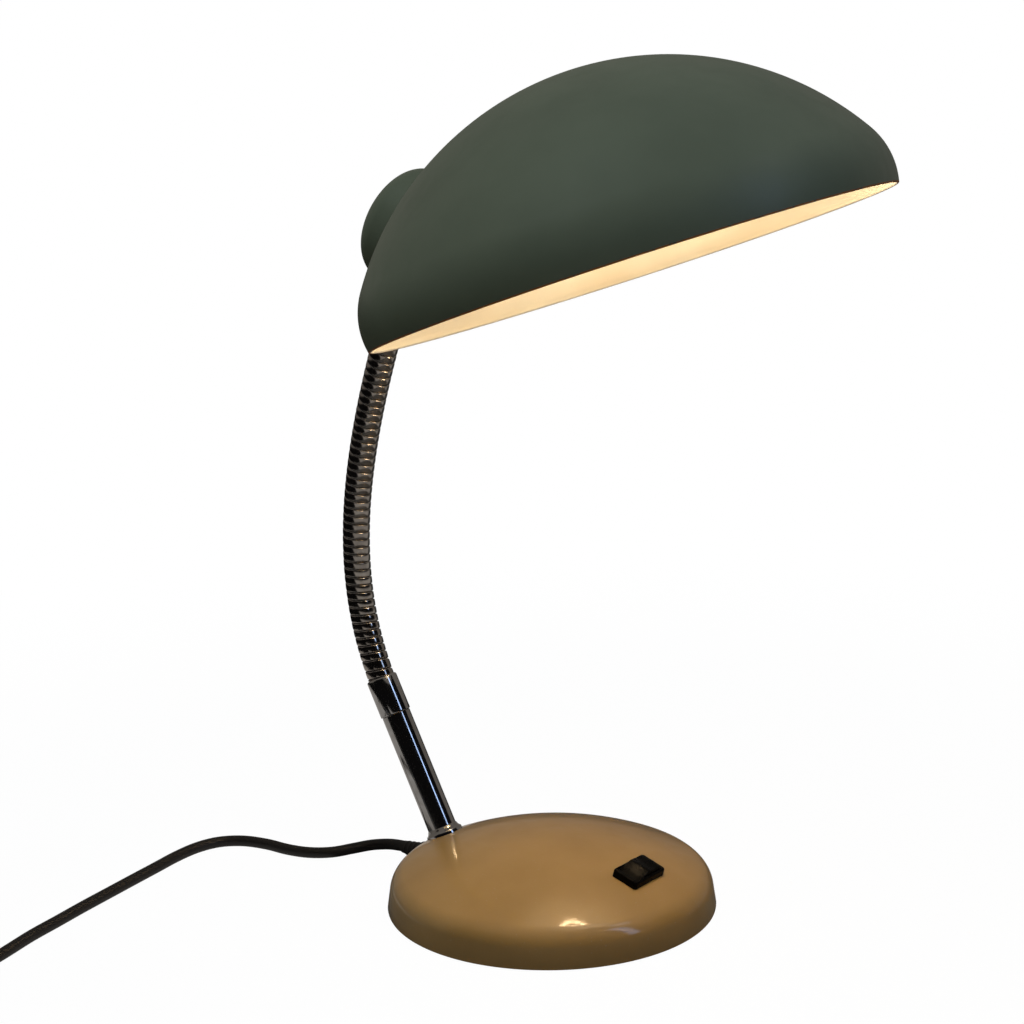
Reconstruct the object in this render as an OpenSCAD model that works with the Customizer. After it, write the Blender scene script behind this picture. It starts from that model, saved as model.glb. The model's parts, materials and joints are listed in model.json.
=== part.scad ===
// Gooseneck desk lamp: a weighted round base, a chrome stem, a ribbed gooseneck and a spun dome shade.
// Millimetres. The origin is the middle of the base's underside, +X is the front and +Z is up.

/* [Base] */
// Diameter of the base at the table
base_d = 180; // [176:1:200]
// Height of the base's dome in the middle
base_h = 39.6; // [38.5:0.1:46]
// Radius of curvature of the base's dome
dome_r = 190; // [175:5:240]
// Lean of the base's skirt from upright
skirt_lean = 8.5; // [5:0.5:10]
// Radius of the shoulder between the skirt and the dome
shoulder_r = 13.4; // [10:0.2:16]
// Sheet thickness of the base's shell
base_wall = 1.2; // [0.9:0.1:1.5]
// Thickness of the felt pad
pad_t = 1.8; // [1.5:0.1:3]
// Thickness of the steel plate
plate_t = 1.2; // [1:0.1:1.6]
// Diameter of the iron weight
weight_d = 150; // [144:1:156]
// Thickness of the iron weight
weight_h = 12; // [9:0.5:12.5]

/* [Switch] */
// Distance of the switch in front of the base's middle
switch_x = 58; // [54:1:60]
// Width of the switch's bezel, front to back
bezel_w = 16; // [15.6:0.2:18]
// Length of the switch's bezel, side to side
bezel_l = 27; // [26:0.5:30]
// Height of the bezel above the dome
bezel_h = 3.7; // [3.2:0.1:4.4]
// Width of the rocker
rocker_w = 13; // [11:0.1:13.2]
// Length of the rocker
rocker_l = 20.8; // [18:0.1:21]
// Slope of each half of the rocker's roof
rocker_slope = 12; // [10:0.5:13]
// Angle of the rocker to each side of its middle
rocker_tilt = 9; // [6:0.5:10]

/* [Stem] */
// Distance of the stem's foot behind the base's middle, measured on the dome
stem_x = 75.4; // [70:0.2:77]
// Lean of the stem backwards from upright
stem_lean = 27.5; // [20:0.5:32]
// Outer diameter of the stem
tube_d = 16.4; // [15.6:0.1:17.2]
// Wall of the stem tube
tube_wall = 1.5; // [1:0.1:1.6]
// Length from the foot to the seam under the ferrule
stem_l = 73; // [60:1:120]
// Length of the lower ferrule's visible part
ferrule_l = 23; // [20:0.5:30]
// Length of the upper ferrule, up to the cup
upper_ferrule_l = 19.5; // [19:0.5:28]
// Diameter of the ferrules
ferrule_d = 17.6; // [16.8:0.1:18.6]
// Diameter of the chrome collar
collar_d = 20.6; // [19.8:0.2:22.6]
// Height of the chrome collar
collar_h = 4; // [3:0.2:6]

/* [Gooseneck] */
// Distance from one rib to the next
rib_pitch = 4.5; // [4.4:0.05:5]
// Outer diameter of the gooseneck
neck_d = 15; // [14.8:0.1:15.2]
// Radius of a rib's round section
rib_r = 1.6; // [1.4:0.05:1.65]
// Number of ribs on each link
link_ribs = 4; // [3:1:5]
// Sideways lean of the head
head_side = 2; // [0:0.1:6]

/* [Rear cup] */
// Outer radius of the cup behind the shade
cup_r = 32.5; // [30:0.5:34]
// Radius of the cup's rounded back edge
cup_edge = 11; // [8:0.5:13]
// Distance of the cup's closed end behind the gooseneck
cup_back = 14.7; // [14.5:0.1:16]
// Sheet thickness of the cup
cup_wall = 1; // [0.8:0.1:1.2]

/* [Shade] */
// Radius of the shade's turned-down edge
shade_edge_r = 39.2; // [35:0.2:45]
// Height of the shade's dome above its rim
shade_h = 102.6; // [95:0.2:108]
// Largest radius of the shade
shade_r = 138.5; // [132:0.5:142]
// Height of the widest place above the rim
shade_wide_h = 8.8; // [5:0.2:12]
// Sheet thickness of the shade
shade_wall = 0.9; // [0.7:0.1:1.2]
// Angle between the shade's axis and the cup's axis
shade_tilt = 48.7; // [46:0.1:53]
// Distance of the shade's dome in front of the cup's closed end, on the cup's axis
shade_gap = 29.2; // [28.4:0.1:31]

/* [Lampholder] */
// Outer radius of the lampholder
holder_r = 13.9; // [13.2:0.1:14.6]
// Length of the lampholder
holder_l = 30.5; // [29:0.5:31]
// Outer radius of the bulb's screw cap
cap_r = 6.95; // [6.7:0.05:7]
// Diameter of the bulb's globe
bulb_d = 40; // [36:1:42]
// Length of the bulb with its cap
bulb_l = 66; // [65:1:68]

/* [Cord] */
// Diameter of the cord
cord_d = 6.4; // [6:0.1:6.6]
// Height of the cord's way out of the base
cord_z = 9; // [8.6:0.1:10]
// Turns of the coil's lower layer
coil_turns = 2.75; // [2:0.25:2.75]
// Distance between neighbouring turns of the coil
coil_pitch = 7; // [6.9:0.1:7.2]
// Radius of the coil's outer turn
coil_r = 48; // [47.6:0.1:49]

/* [Hidden] */

$fn = 64;
// Gap between pieces that are fastened together
seat = 0.02;
// Gap of a pin or a screw in its hole
fit = 0.05;
// Gap between pieces that only pass each other
clear = 0.2;

// Forward bend at each joint of the gooseneck as the lamp stands, from the ferrule up
neck_bends = [5.7, 6.7, 6.4, 5.8, 5.3, 4.7, 3.9, 3.1, 2.6, 2.3, 1.5, 1.1];
links = len(neck_bends);
// The first link that leans sideways as well
side_from = 6;
link_l = link_ribs * rib_pitch;
rib_mid_r = neck_d / 2 - rib_r;
ball_r = 4.2;
socket_r = ball_r + 0.25;
sleeve_r = socket_r + 0.5;
neck_r = ball_r - 0.5;
neck_bore_r = 3.1;
sleeve_gap = 0.3;
sleeve_top = 1.2;
joint_room = 1;

// Mains nipples, one at each end of the gooseneck
nipple_r = 5;
nipple_bore_r = 3.5;
nut_r = 8;
nut_h = 5;
nipple_end = 1.5;
nipple_grip = 15;
washer_h = 2.4;
spigot_l = 15;
link_spigot_l = 6;
link_spigot_r = sleeve_r;

function unit(v) = v / norm(v);
function reverse(points) = [for (i = [len(points) - 1:-1:0]) points[i]];
// Points of an arc about a centre, from one angle to another
function arc(c, r, from, to, steps) =
  [for (i = [0:steps]) let (a = from + (to - from) * i / steps) c + r * [cos(a), sin(a)]];

// The base's outline: a leaning skirt, a rounded shoulder and a shallow dome
skirt_r = base_d / 2;
dome_z = base_h - dome_r;
lip_z = 0.6;
lip_w = 2.4;
plate_z = pad_t;
weight_z = plate_z + plate_t;
shoulder_out = skirt_r * cos(skirt_lean) - shoulder_r;
shoulder_up = dome_z * cos(skirt_lean)
  + sqrt(pow(dome_r - shoulder_r, 2) - pow(shoulder_out - dome_z * sin(skirt_lean), 2));
shoulder = shoulder_out * [cos(skirt_lean), sin(skirt_lean)]
  + shoulder_up * [-sin(skirt_lean), cos(skirt_lean)];
shoulder_end = atan2(shoulder[1] - dome_z, shoulder[0]);
function skirt_at(z, inset = 0) = skirt_r - z * tan(skirt_lean) - inset / cos(skirt_lean);
function dome_at(r) = dome_z + sqrt(dome_r * dome_r - r * r);
shoulder_steps = 7;
dome_steps = 10;
// Outline of the base from height z up to the middle, inset by a wall
function base_line(z, inset) = concat(
  [[skirt_at(z, inset), z]],
  arc(shoulder, shoulder_r - inset, skirt_lean, shoulder_end, shoulder_steps),
  [for (i = [1:dome_steps]) arc([0, dome_z], dome_r - inset, shoulder_end, 90, dome_steps)[i]]);

// The filled base inside an outline that is inset by a wall
module base_solid(inset = 0) {
  rotate_extrude($fn = 128)
    polygon(concat([[0, 0]], base_line(0, inset)));
}

// Place a child at the stem's foot, with +Z along the stem
module at_foot() {
  translate([-stem_x, 0, dome_at(stem_x)]) rotate([0, -stem_lean, 0]) children();
}

// Place a child on the dome at the switch, with +Z square to the dome
module at_switch() {
  translate([switch_x, 0, dome_at(switch_x)]) rotate([0, asin(switch_x / dome_r), 0]) children();
}

// Ring with a square section
module ring(r, hole_r, h) {
  difference() {
    cylinder(r = r, h = h);
    translate([0, 0, -1]) cylinder(r = hole_r, h = h + 2);
  }
}

// Six-sided nut with a round hole
module nut(r, hole_r, h) {
  difference() {
    cylinder(r = r, h = h, $fn = 6);
    translate([0, 0, -1]) cylinder(r = hole_r, h = h + 2);
  }
}

// Bar with rounded upright edges, centred on the origin
module round_bar(size, r) {
  for (x = [-1, 1]) {
    for (y = [-1, 1]) {
      translate([x * (size[0] / 2 - r), y * (size[1] / 2 - r), 0]) cylinder(r = r, h = size[2]);
    }
  }
  translate([-size[0] / 2 + r, -size[1] / 2, 0]) cube([size[0] - 2 * r, size[1], size[2]]);
  translate([-size[0] / 2, -size[1] / 2 + r, 0]) cube([size[0], size[1] - 2 * r, size[2]]);
}

// Tube swept along points, with flat ends square to the way that the points run
module swept(points, r, sides, across = [0, 0, 1]) {
  last = len(points) - 1;
  rings = [for (i = [0:last])
    let (t = unit(points[min(i + 1, last)] - points[max(i - 1, 0)]),
         s = unit(cross(across, t)),
         u = cross(t, s))
    [for (k = [0:sides - 1]) let (a = 360 * k / sides - 90) points[i] + r * (cos(a) * s + sin(a) * u)]];
  body = [for (i = [0:last - 1], k = [0:sides - 1], half = [0, 1])
    let (n = (k + 1) % sides, a = i * sides, b = a + sides)
    half == 0 ? [a + k, b + k, b + n] : [a + k, b + n, a + n]];
  first_cap = [for (k = [1:sides - 2]) [0, k, k + 1]];
  last_cap = [for (k = [1:sides - 2]) [last * sides, last * sides + k + 1, last * sides + k]];
  polyhedron([for (one = rings) each one], concat(body, first_cap, last_cap));
}

// Base

window_w = bezel_w - 1.2;
window_l = bezel_l - 3.6;
bushing_r = 4.4;

module stem_hole() {
  at_foot() translate([0, 0, -20]) cylinder(r = nipple_r + clear, h = 40);
}

module base_shell() {
  lip_r = skirt_at(0, base_wall) - lip_w;
  color("#7a6238")
  difference() {
    rotate_extrude($fn = 128)
      polygon(concat([[lip_r, lip_z]], base_line(lip_z, 0), reverse(base_line(plate_z, base_wall)),
        [[lip_r, plate_z]]));
    stem_hole();
    at_switch() translate([-window_w / 2, -window_l / 2, -10]) cube([window_w, window_l, 20]);
    at_bushing() cylinder(r = bushing_r + fit, h = 30);
  }
}

// Screws that hold the weight to the plate
screw_ring_r = 55;
screw_r = 2;
screw_head_r = 3.6;
screw_head_h = 1.2;
screw_up = 8;
screw_angles = [90, 210, 330];
module at_plate_screws() {
  for (a = screw_angles) rotate([0, 0, a]) translate([screw_ring_r, 0, 0]) children();
}

// Rear notch of the weight for the cord, and its window for the switch
notch_front = 16;
notch_w = 32;
weight_window = [24, 28];
weight_window_x = switch_x - 6;

module base_weight() {
  color("#3a3a3c")
  difference() {
    translate([0, 0, weight_z]) cylinder(d = weight_d, h = weight_h);
    translate([-weight_d, -notch_w / 2, weight_z - 1])
      cube([weight_d - notch_front, notch_w, weight_h + 2]);
    translate([weight_window_x - weight_window[0] / 2, -weight_window[1] / 2, weight_z - 1])
      cube([weight_window[0], weight_window[1], weight_h + 2]);
    at_plate_screws() translate([0, 0, weight_z - 1]) cylinder(r = screw_r + fit, h = screw_up + 1.5);
  }
}

module base_plate() {
  color("#8f9194")
  difference() {
    translate([0, 0, plate_z]) cylinder(r = skirt_at(weight_z, base_wall) - clear, h = plate_t, $fn = 128);
    at_plate_screws() cylinder(r = screw_r + fit, h = weight_z + 1);
    at_clamp_screws() cylinder(r = clamp_screw_r + fit, h = weight_z + 1);
  }
}

module base_pad() {
  color("#20221f")
  difference() {
    cylinder(r = skirt_at(0, base_wall) - lip_w - 2 * clear, h = pad_t, $fn = 128);
    at_plate_screws() translate([0, 0, -1]) cylinder(r = screw_head_r + 1, h = pad_t + 2);
  }
}

module plate_screws() {
  color("#b8babd")
  at_plate_screws() {
    translate([0, 0, plate_z - screw_head_h]) cylinder(r = screw_head_r, h = screw_head_h);
    translate([0, 0, plate_z - 0.1]) cylinder(r = screw_r, h = plate_t + screw_up);
  }
}

// Switch

body_w = window_w - 2 * clear;
body_l = window_l - 2 * clear;
body_depth = 16;
pivot_z = 1.2;
rocker_rise = 2.3;
rocker_peak = bezel_h + rocker_rise - pivot_z;
rocker_foot = 1.5;
rocker_end_r = rocker_l / 2;
cavity_w = rocker_w + 1.5 * clear;
cavity_l = rocker_l + 2 * clear;
cavity_depth = 3.5;
pin_r = 1;
pin_out = 1;
tab_size = [4.8, 0.8, 8];
tab_gap = 7;
tab_root = 1.5;
barb_w = 6;
barb_t = 1.2;
barb_h = 3;
barb_out = 1;
barb_drop = 1;

module at_tabs() {
  for (y = [-tab_gap, 0, tab_gap]) translate([0, y, -body_depth]) children();
}

module switch_housing() {
  color("#1b1a18")
  difference() {
    union() {
      difference() {
        at_switch() translate([0, 0, -2]) round_bar([bezel_w, bezel_l, bezel_h + 2], 2);
        base_solid(-seat);
      }
      at_switch() translate([-body_w / 2, -body_l / 2, -body_depth])
        cube([body_w, body_l, body_depth + bezel_h - 1]);
      at_switch() for (side = [0, 180]) rotate([0, 0, side])
        translate([-barb_w / 2, body_l / 2 + barb_out - barb_t, -base_wall - barb_drop - barb_h])
          cube([barb_w, barb_t, barb_h]);
    }
    at_switch() translate([-cavity_w / 2, -cavity_l / 2, -cavity_depth])
      cube([cavity_w, cavity_l, cavity_depth + bezel_h + 1]);
    at_switch() translate([-rocker_w / 2 - pin_out - fit, 0, pivot_z]) rotate([0, 90, 0])
      cylinder(r = pin_r + fit, h = rocker_w + 2 * (pin_out + fit));
    at_switch() at_tabs() translate([-tab_size[0] / 2 - fit, -tab_size[1] / 2 - fit, -1])
      cube([tab_size[0] + 2 * fit, tab_size[1] + 2 * fit, tab_root + 1]);
  }
}

module switch_rocker() {
  half = rocker_end_r + 1;
  eave = rocker_peak - half * tan(rocker_slope);
  color("#161513")
  at_switch() translate([0, 0, pivot_z]) rotate([rocker_tilt, 0, 0]) {
    intersection() {
      translate([rocker_w / 2, 0, 0]) rotate([0, -90, 0]) linear_extrude(rocker_w)
        polygon([[-rocker_foot, -half], [-rocker_foot, half], [eave, half], [rocker_peak, 0], [eave, -half]]);
      translate([-rocker_w, 0, 0]) rotate([0, 90, 0]) cylinder(r = rocker_end_r, h = 2 * rocker_w);
    }
    translate([-rocker_w / 2 - pin_out, 0, 0]) rotate([0, 90, 0])
      cylinder(r = pin_r, h = rocker_w + 2 * pin_out);
  }
}

module switch_terminals() {
  color("#b08d3c")
  at_switch() at_tabs() translate([-tab_size[0] / 2, -tab_size[1] / 2, -tab_size[2]])
    cube([tab_size[0], tab_size[1], tab_size[2] + tab_root - fit]);
}

// Stem

collar_ledge = 2;
ferrule_top = stem_l + ferrule_l;
tube_bore_r = tube_d / 2 - tube_wall;

module stem_collar() {
  color("#c9cbce")
  difference() {
    at_foot() translate([0, 0, -2]) cylinder(d = collar_d, h = collar_h + 2);
    base_solid(-seat);
    stem_hole();
    at_foot() translate([0, 0, collar_ledge]) cylinder(d = tube_d + 2 * fit, h = collar_h);
  }
}

module stem_tube() {
  color("#d5d7da")
  at_foot() difference() {
    translate([0, 0, collar_ledge]) cylinder(d = tube_d, h = stem_l - collar_ledge);
    translate([0, 0, collar_ledge - 1]) cylinder(r = nipple_r + fit, h = stem_l);
    translate([0, 0, collar_ledge + nipple_grip]) cylinder(r = tube_bore_r, h = stem_l);
  }
}

nut_top = -base_wall - washer_h;

module stem_nipple() {
  color("#b08d3c")
  at_foot() translate([0, 0, nut_top - nut_h - nipple_end])
    ring(nipple_r, nipple_bore_r, nut_h + nipple_end - nut_top + collar_ledge + nipple_grip - 1);
}

module stem_washer() {
  color("#9a9ca0")
  intersection() {
    at_foot() translate([0, 0, nut_top]) ring(nut_r + 1, nipple_r + fit, washer_h + 1);
    base_solid(base_wall + seat);
  }
}

module stem_nut() {
  color("#9a9ca0")
  at_foot() translate([0, 0, nut_top - nut_h]) nut(nut_r, nipple_r + fit, nut_h);
}

module lower_ferrule() {
  color("#cfd1d4")
  at_foot() translate([0, 0, ferrule_top]) difference() {
    union() {
      translate([0, 0, -ferrule_l]) cylinder(d = ferrule_d, h = ferrule_l - joint_room - 1);
      translate([0, 0, -joint_room - 1]) cylinder(d1 = ferrule_d, d2 = ferrule_d - 2, h = 1);
      translate([0, 0, -ferrule_l - spigot_l]) cylinder(r = tube_bore_r - fit, h = spigot_l + 1);
      translate([0, 0, -joint_room - 2]) cylinder(r = neck_r, h = joint_room + 2);
      sphere(r = ball_r);
    }
    translate([0, 0, -ferrule_l - spigot_l - 1]) cylinder(r = neck_bore_r, h = ferrule_l + spigot_l + 10);
  }
}

// Gooseneck

function bend_sum(k) = k < 0 ? -stem_lean : neck_bends[k] + bend_sum(k - 1);
// Heading of a link from upright in the lamp's plane, and its sideways lean
function heading(k) = bend_sum(k - 1);
function side_lean(k) = k == links ? head_side
  : max(0, k - side_from + 1) * head_side / (links - side_from + 2);
function link_way(k) = let (h = heading(k), s = side_lean(k))
  [sin(h), -sin(s) * cos(h), cos(s) * cos(h)];
neck_start = [-stem_x, 0, dome_at(stem_x)] + ferrule_top * [-sin(stem_lean), 0, cos(stem_lean)];
// Pivot between link k and the link above it
function pivot(k) = k == 0 ? neck_start : pivot(k - 1) + link_l * link_way(k);

module at_link(k) {
  translate(pivot(k - 1)) rotate([side_lean(k), 0, 0]) rotate([0, heading(k), 0]) children();
}

module neck_link(k) {
  last = k == links;
  color("#9b9da0")
  at_link(k) difference() {
    union() {
      translate([0, 0, sleeve_gap]) cylinder(r = sleeve_r, h = link_l - sleeve_gap - (last ? 0 : sleeve_top));
      for (i = [0:link_ribs - 1]) {
        translate([0, 0, (i + 0.5) * rib_pitch]) rotate_extrude() translate([rib_mid_r, 0]) circle(r = rib_r);
      }
      if (last) {
        translate([0, 0, link_l - 1]) cylinder(r = link_spigot_r, h = link_spigot_l + 1);
      } else {
        translate([0, 0, link_l - sleeve_top - 1]) cylinder(r = neck_r, h = sleeve_top + 1);
        translate([0, 0, link_l]) sphere(r = ball_r);
      }
    }
    translate([0, 0, -1]) cylinder(r = neck_bore_r, h = link_l + link_spigot_l + 10);
    sphere(r = socket_r);
  }
}

// Head, placed on the top of the upper ferrule

module at_head() {
  translate(pivot(links)) rotate([side_lean(links), 0, 0]) rotate([0, heading(links), 0])
    translate([0, 0, upper_ferrule_l - 1]) children();
}

// Place a child on the cup's axis, with +Z along it towards the shade, from the closed end
module at_cup() {
  translate([-cup_back, 0, cup_r]) rotate([0, 90, 0]) children();
}

// Radius of the dome that runs smoothly into the shade's turned-down edge
shade_drop = shade_h - shade_wide_h;
shade_dome_r = (pow(shade_r - shade_edge_r, 2) + pow(shade_drop, 2) - pow(shade_edge_r, 2))
  / (2 * (shade_drop - shade_edge_r));

// Place a child on the shade's axis, with +Z towards its top, from the rim's middle
shade_centre_x = -cup_back + shade_gap + shade_dome_r;
module at_shade() {
  translate([shade_centre_x, 0, cup_r]) rotate([0, shade_tilt - 90, 0])
    translate([0, 0, shade_dome_r - shade_h]) children();
}

// Outline of the cup from its axis to its open end, inset by a wall
function cup_line(inset, l) = concat([[0, inset]],
  arc([cup_r - cup_edge, cup_edge], cup_edge - inset, -90, 0, 8), [[cup_r - inset, l]]);
module cup_solid(inset, l) {
  at_cup() rotate_extrude($fn = 96) polygon(concat(cup_line(inset, l), [[0, l]]));
}

// Outline of the shade from its rim to its top, inset by a wall
shade_low = shade_dome_r - shade_drop;
shade_edge_mid = [shade_r - shade_edge_r, shade_wide_h];
shade_edge_end = atan2(shade_low, shade_edge_mid[0]);
edge_steps = 5;
top_steps = 14;
function shade_line(inset) = concat(
  [[shade_edge_mid[0] + sqrt(pow(shade_edge_r - inset, 2) - pow(shade_wide_h, 2)), 0]],
  arc(shade_edge_mid, shade_edge_r - inset, 0, shade_edge_end, edge_steps),
  [for (i = [1:top_steps])
    arc([0, shade_h - shade_dome_r], shade_dome_r - inset, shade_edge_end, 90, top_steps)[i]]);
module shade_solid(inset) {
  at_shade() rotate_extrude($fn = 144)
    polygon(concat([[0, -1], [shade_line(inset)[0][0], -1]], shade_line(inset)));
}

neck_grip = 10;
neck_nut_z = cup_wall + washer_h;

module upper_ferrule() {
  color("#cfd1d4")
  at_head() difference() {
    translate([0, 0, 1 - upper_ferrule_l]) cylinder(d = ferrule_d, h = upper_ferrule_l + 3);
    cup_solid(-seat, 50);
    translate([0, 0, -upper_ferrule_l]) cylinder(r = neck_bore_r, h = 2 * upper_ferrule_l);
    translate([0, 0, -upper_ferrule_l]) cylinder(r = link_spigot_r + fit, h = link_spigot_l + 1 + clear);
    translate([0, 0, -neck_grip]) cylinder(r = nipple_r + fit, h = neck_grip + 10);
  }
}

module neck_nipple() {
  color("#b08d3c")
  at_head() translate([0, 0, -neck_grip + clear])
    ring(nipple_r, nipple_bore_r, neck_grip + neck_nut_z + nut_h + nipple_end);
}

module neck_washer() {
  color("#9a9ca0")
  at_head() intersection() {
    ring(nipple_r + 2, nipple_r + fit, neck_nut_z);
    cup_solid(cup_wall + seat, 50);
  }
}

module neck_nut() {
  color("#9a9ca0")
  at_head() translate([0, 0, neck_nut_z]) nut(nut_r, nipple_r + fit, nut_h);
}

// Ears inside the cup that take the shade's three screws
ear_ring_r = 24;
ear_w = 9;
ear_t = 2.5;
ear_screw_r = 1.5;
ear_screw_l = 8;
ear_head_r = 3;
ear_head_h = 1.8;
ear_angles = [60, 180, 300];
// How far the dome falls away at a distance from the cup's axis
function dome_drop(r) = shade_dome_r - sqrt(pow(shade_dome_r, 2) - r * r);
ear_drop = dome_drop(ear_ring_r);
cup_reach = 4;
cup_l = shade_gap + dome_drop(cup_r) + cup_reach;
ear_in = 4;
module at_ears() {
  at_cup() for (a = ear_angles) rotate([0, 0, a]) translate([ear_ring_r, 0, shade_gap]) children();
}

module rear_cup() {
  color("#454a40")
  at_head() difference() {
    union() {
      difference() {
        cup_solid(0, cup_l);
        cup_solid(cup_wall, cup_l + 1);
      }
      intersection() {
        at_ears() translate([-ear_in, -ear_w / 2, ear_drop - ear_t])
          cube([cup_r, ear_w, ear_t + dome_drop(cup_r) + cup_reach]);
        cup_solid(cup_wall / 2, cup_l);
      }
    }
    shade_solid(-seat);
    at_ears() translate([0, 0, -ear_screw_l]) cylinder(r = ear_screw_r + fit, h = 3 * ear_screw_l);
    translate([0, 0, -neck_grip]) cylinder(r = nipple_r + clear, h = 2 * neck_grip);
  }
}

module cup_screws() {
  color("#b8babd")
  at_head() {
    at_ears() translate([0, 0, ear_drop - ear_screw_l + 2]) cylinder(r = ear_screw_r, h = ear_screw_l);
    intersection() {
      at_ears() translate([0, 0, ear_drop]) cylinder(r = ear_head_r, h = shade_wall + ear_head_h);
      shade_solid(shade_wall + seat);
    }
  }
}

shade_hole_r = holder_r + 2 * clear;
module shade() {
  color("#474b40")
  at_head() difference() {
    at_shade() rotate_extrude($fn = 144) polygon(concat(shade_line(0), reverse(shade_line(shade_wall))));
    at_cup() cylinder(r = shade_hole_r, h = 2 * shade_gap);
    at_ears() translate([0, 0, -ear_screw_l]) cylinder(r = ear_screw_r + clear, h = 3 * ear_screw_l);
  }
}

// Lampholder and bulb, along the cup's axis

holder_z = 3.5;
holder_floor = holder_z + 2.5;
tip_z = holder_floor + 2.5;
shell_z = tip_z + 1.5;
shell_l = 17;
shell_t = 0.55;
shell_r = cap_r + 0.1;
flange_r = 17;
flange_t = 2;
ring_r = 20;
ring_end = holder_z + holder_l - 0.5;
entry_r = 1.35;
entry_y = 4;

module holder_body() {
  color("#17171a")
  at_head() difference() {
    union() {
      at_cup() translate([0, 0, holder_z]) cylinder(r = holder_r, h = holder_l);
      at_cup() translate([0, 0, shade_gap + dome_drop(shade_hole_r) - seat - flange_t])
        cylinder(r = flange_r, h = flange_t);
    }
    at_cup() translate([0, 0, holder_floor]) cylinder(r = shell_r + shell_t + fit, h = holder_l);
    at_cup() translate([0, 0, shell_z + shell_l]) cylinder(r = cap_r + 1.25, h = holder_l);
    for (y = [-entry_y, entry_y]) translate([0, y, 0]) cylinder(r = entry_r, h = cup_r - cap_r);
  }
}

module holder_contacts() {
  color("#b08d3c")
  at_head() at_cup() {
    translate([0, 0, shell_z]) ring(shell_r + shell_t, shell_r, shell_l);
    translate([0, 0, holder_floor]) cylinder(r = 2, h = tip_z - holder_floor);
    translate([0, 0, holder_floor]) cylinder(r = 5, h = 0.6);
  }
}

module shade_ring() {
  color("#17171a")
  at_head() intersection() {
    at_cup() translate([0, 0, shade_gap]) ring(ring_r, holder_r + fit, ring_end - shade_gap);
    shade_solid(shade_wall + seat);
  }
}

bulb_z = tip_z + bulb_l - bulb_d / 2;
glass_z = shell_z + shell_l;
glass_t = 0.8;
// Outline of the bulb's glass from its cap to its tip, inset by a wall
function bulb_line(inset) = concat(
  [[cap_r - 0.3 - inset, glass_z], [cap_r - inset, glass_z + 7], [cap_r + 0.8 - inset, glass_z + 9.5]],
  arc([0, bulb_z], bulb_d / 2 - inset, -58, 90, 14));

module bulb_glass() {
  color("#f3eee2")
  at_head() at_cup() rotate_extrude()
    polygon(concat(bulb_line(0), reverse(bulb_line(glass_t))));
}

module bulb_cap() {
  color("#b9bbbf")
  at_head() at_cup() {
    translate([0, 0, tip_z]) cylinder(r = 2.5, h = shell_z - tip_z);
    translate([0, 0, shell_z]) cylinder(r = cap_r, h = shell_l);
  }
}

// Wiring

wire_r = 1.1;
head_wire_low = -8;
module head_wires() {
  color("#8a4a22")
  at_head() for (side = [-1, 1]) {
    swept([[0, side * 1.3, head_wire_low], [0, side * 1.3, 0], [0, side * 1.3, 9], [0, side * 2.2, 13],
      [0, side * entry_y, 17], [0, side * entry_y, 20], [0, side * entry_y, cup_r - shell_r - shell_t - 1.5]],
      wire_r, 8, [1, 0, 0]);
  }
}

block_size = [10, 20, 11];
block_x = -33;
lead_end = -44;
clamp_x = -52;
clamp_w = 6;
clamp_foot = 11;
clamp_wall = 1.2;
clamp_screw_r = 1.5;
clamp_screw_y = 8.5;

module at_bushing() {
  translate([-skirt_r + 15, 0, cord_z]) rotate([0, -90, 0]) children();
}

module at_clamp_screws() {
  for (side = [-1, 1]) translate([clamp_x, side * clamp_screw_y, 0]) children();
}

relief_l = 16;
nose_x = -skirt_r - relief_l;
relief_end_wall = 0.6;
bushing_flange_r = 6;
flange_end = -skirt_r - 2.5;

module cord_bushing() {
  color("#141414")
  difference() {
    union() {
      difference() {
        translate([flange_end, 0, cord_z]) rotate([0, 90, 0]) cylinder(r = bushing_flange_r, h = 6);
        base_solid(-seat);
      }
      translate([flange_end, 0, cord_z]) rotate([0, 90, 0]) cylinder(r = bushing_r, h = 8);
      intersection() {
        translate([flange_end, 0, cord_z]) rotate([0, 90, 0]) cylinder(r = bushing_flange_r - 1, h = 8);
        base_solid(base_wall + seat);
      }
      translate([nose_x, 0, cord_z]) rotate([0, 90, 0])
        cylinder(r1 = cord_d / 2 + relief_end_wall, r2 = bushing_r + 0.4, h = flange_end - nose_x);
    }
    translate([nose_x - 1, 0, cord_z]) rotate([0, 90, 0]) cylinder(r = cord_d / 2 + fit, h = relief_l + 30);
  }
}

module inner_lead() {
  color("#101010")
  translate([nose_x, 0, cord_z]) rotate([0, 90, 0]) cylinder(d = cord_d, h = lead_end - nose_x);
}

clamp_top = cord_z + cord_d / 2 + clamp_wall;
module cord_clamp() {
  color("#2a2a2c")
  difference() {
    union() {
      translate([clamp_x - clamp_w / 2, -clamp_foot, weight_z]) cube([clamp_w, 2 * clamp_foot, 1.6]);
      translate([clamp_x - clamp_w / 2, -cord_d / 2 - clamp_wall, weight_z])
        cube([clamp_w, cord_d + 2 * clamp_wall, clamp_top - weight_z]);
    }
    translate([clamp_x - clamp_w, 0, cord_z]) rotate([0, 90, 0]) cylinder(r = cord_d / 2 + seat, h = 2 * clamp_w);
    translate([clamp_x - clamp_w, -cord_d / 2 - seat, weight_z - 1])
      cube([2 * clamp_w, cord_d + 2 * seat, cord_z - weight_z + 1]);
    at_clamp_screws() cylinder(r = clamp_screw_r + fit, h = weight_z + 5);
  }
}

module clamp_screws() {
  color("#b8babd")
  at_clamp_screws() {
    translate([0, 0, plate_z + fit]) cylinder(r = clamp_screw_r, h = weight_z + 1.7 - plate_z);
    translate([0, 0, weight_z + 1.6]) cylinder(r = 2.4, h = 1.6);
  }
}

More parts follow.
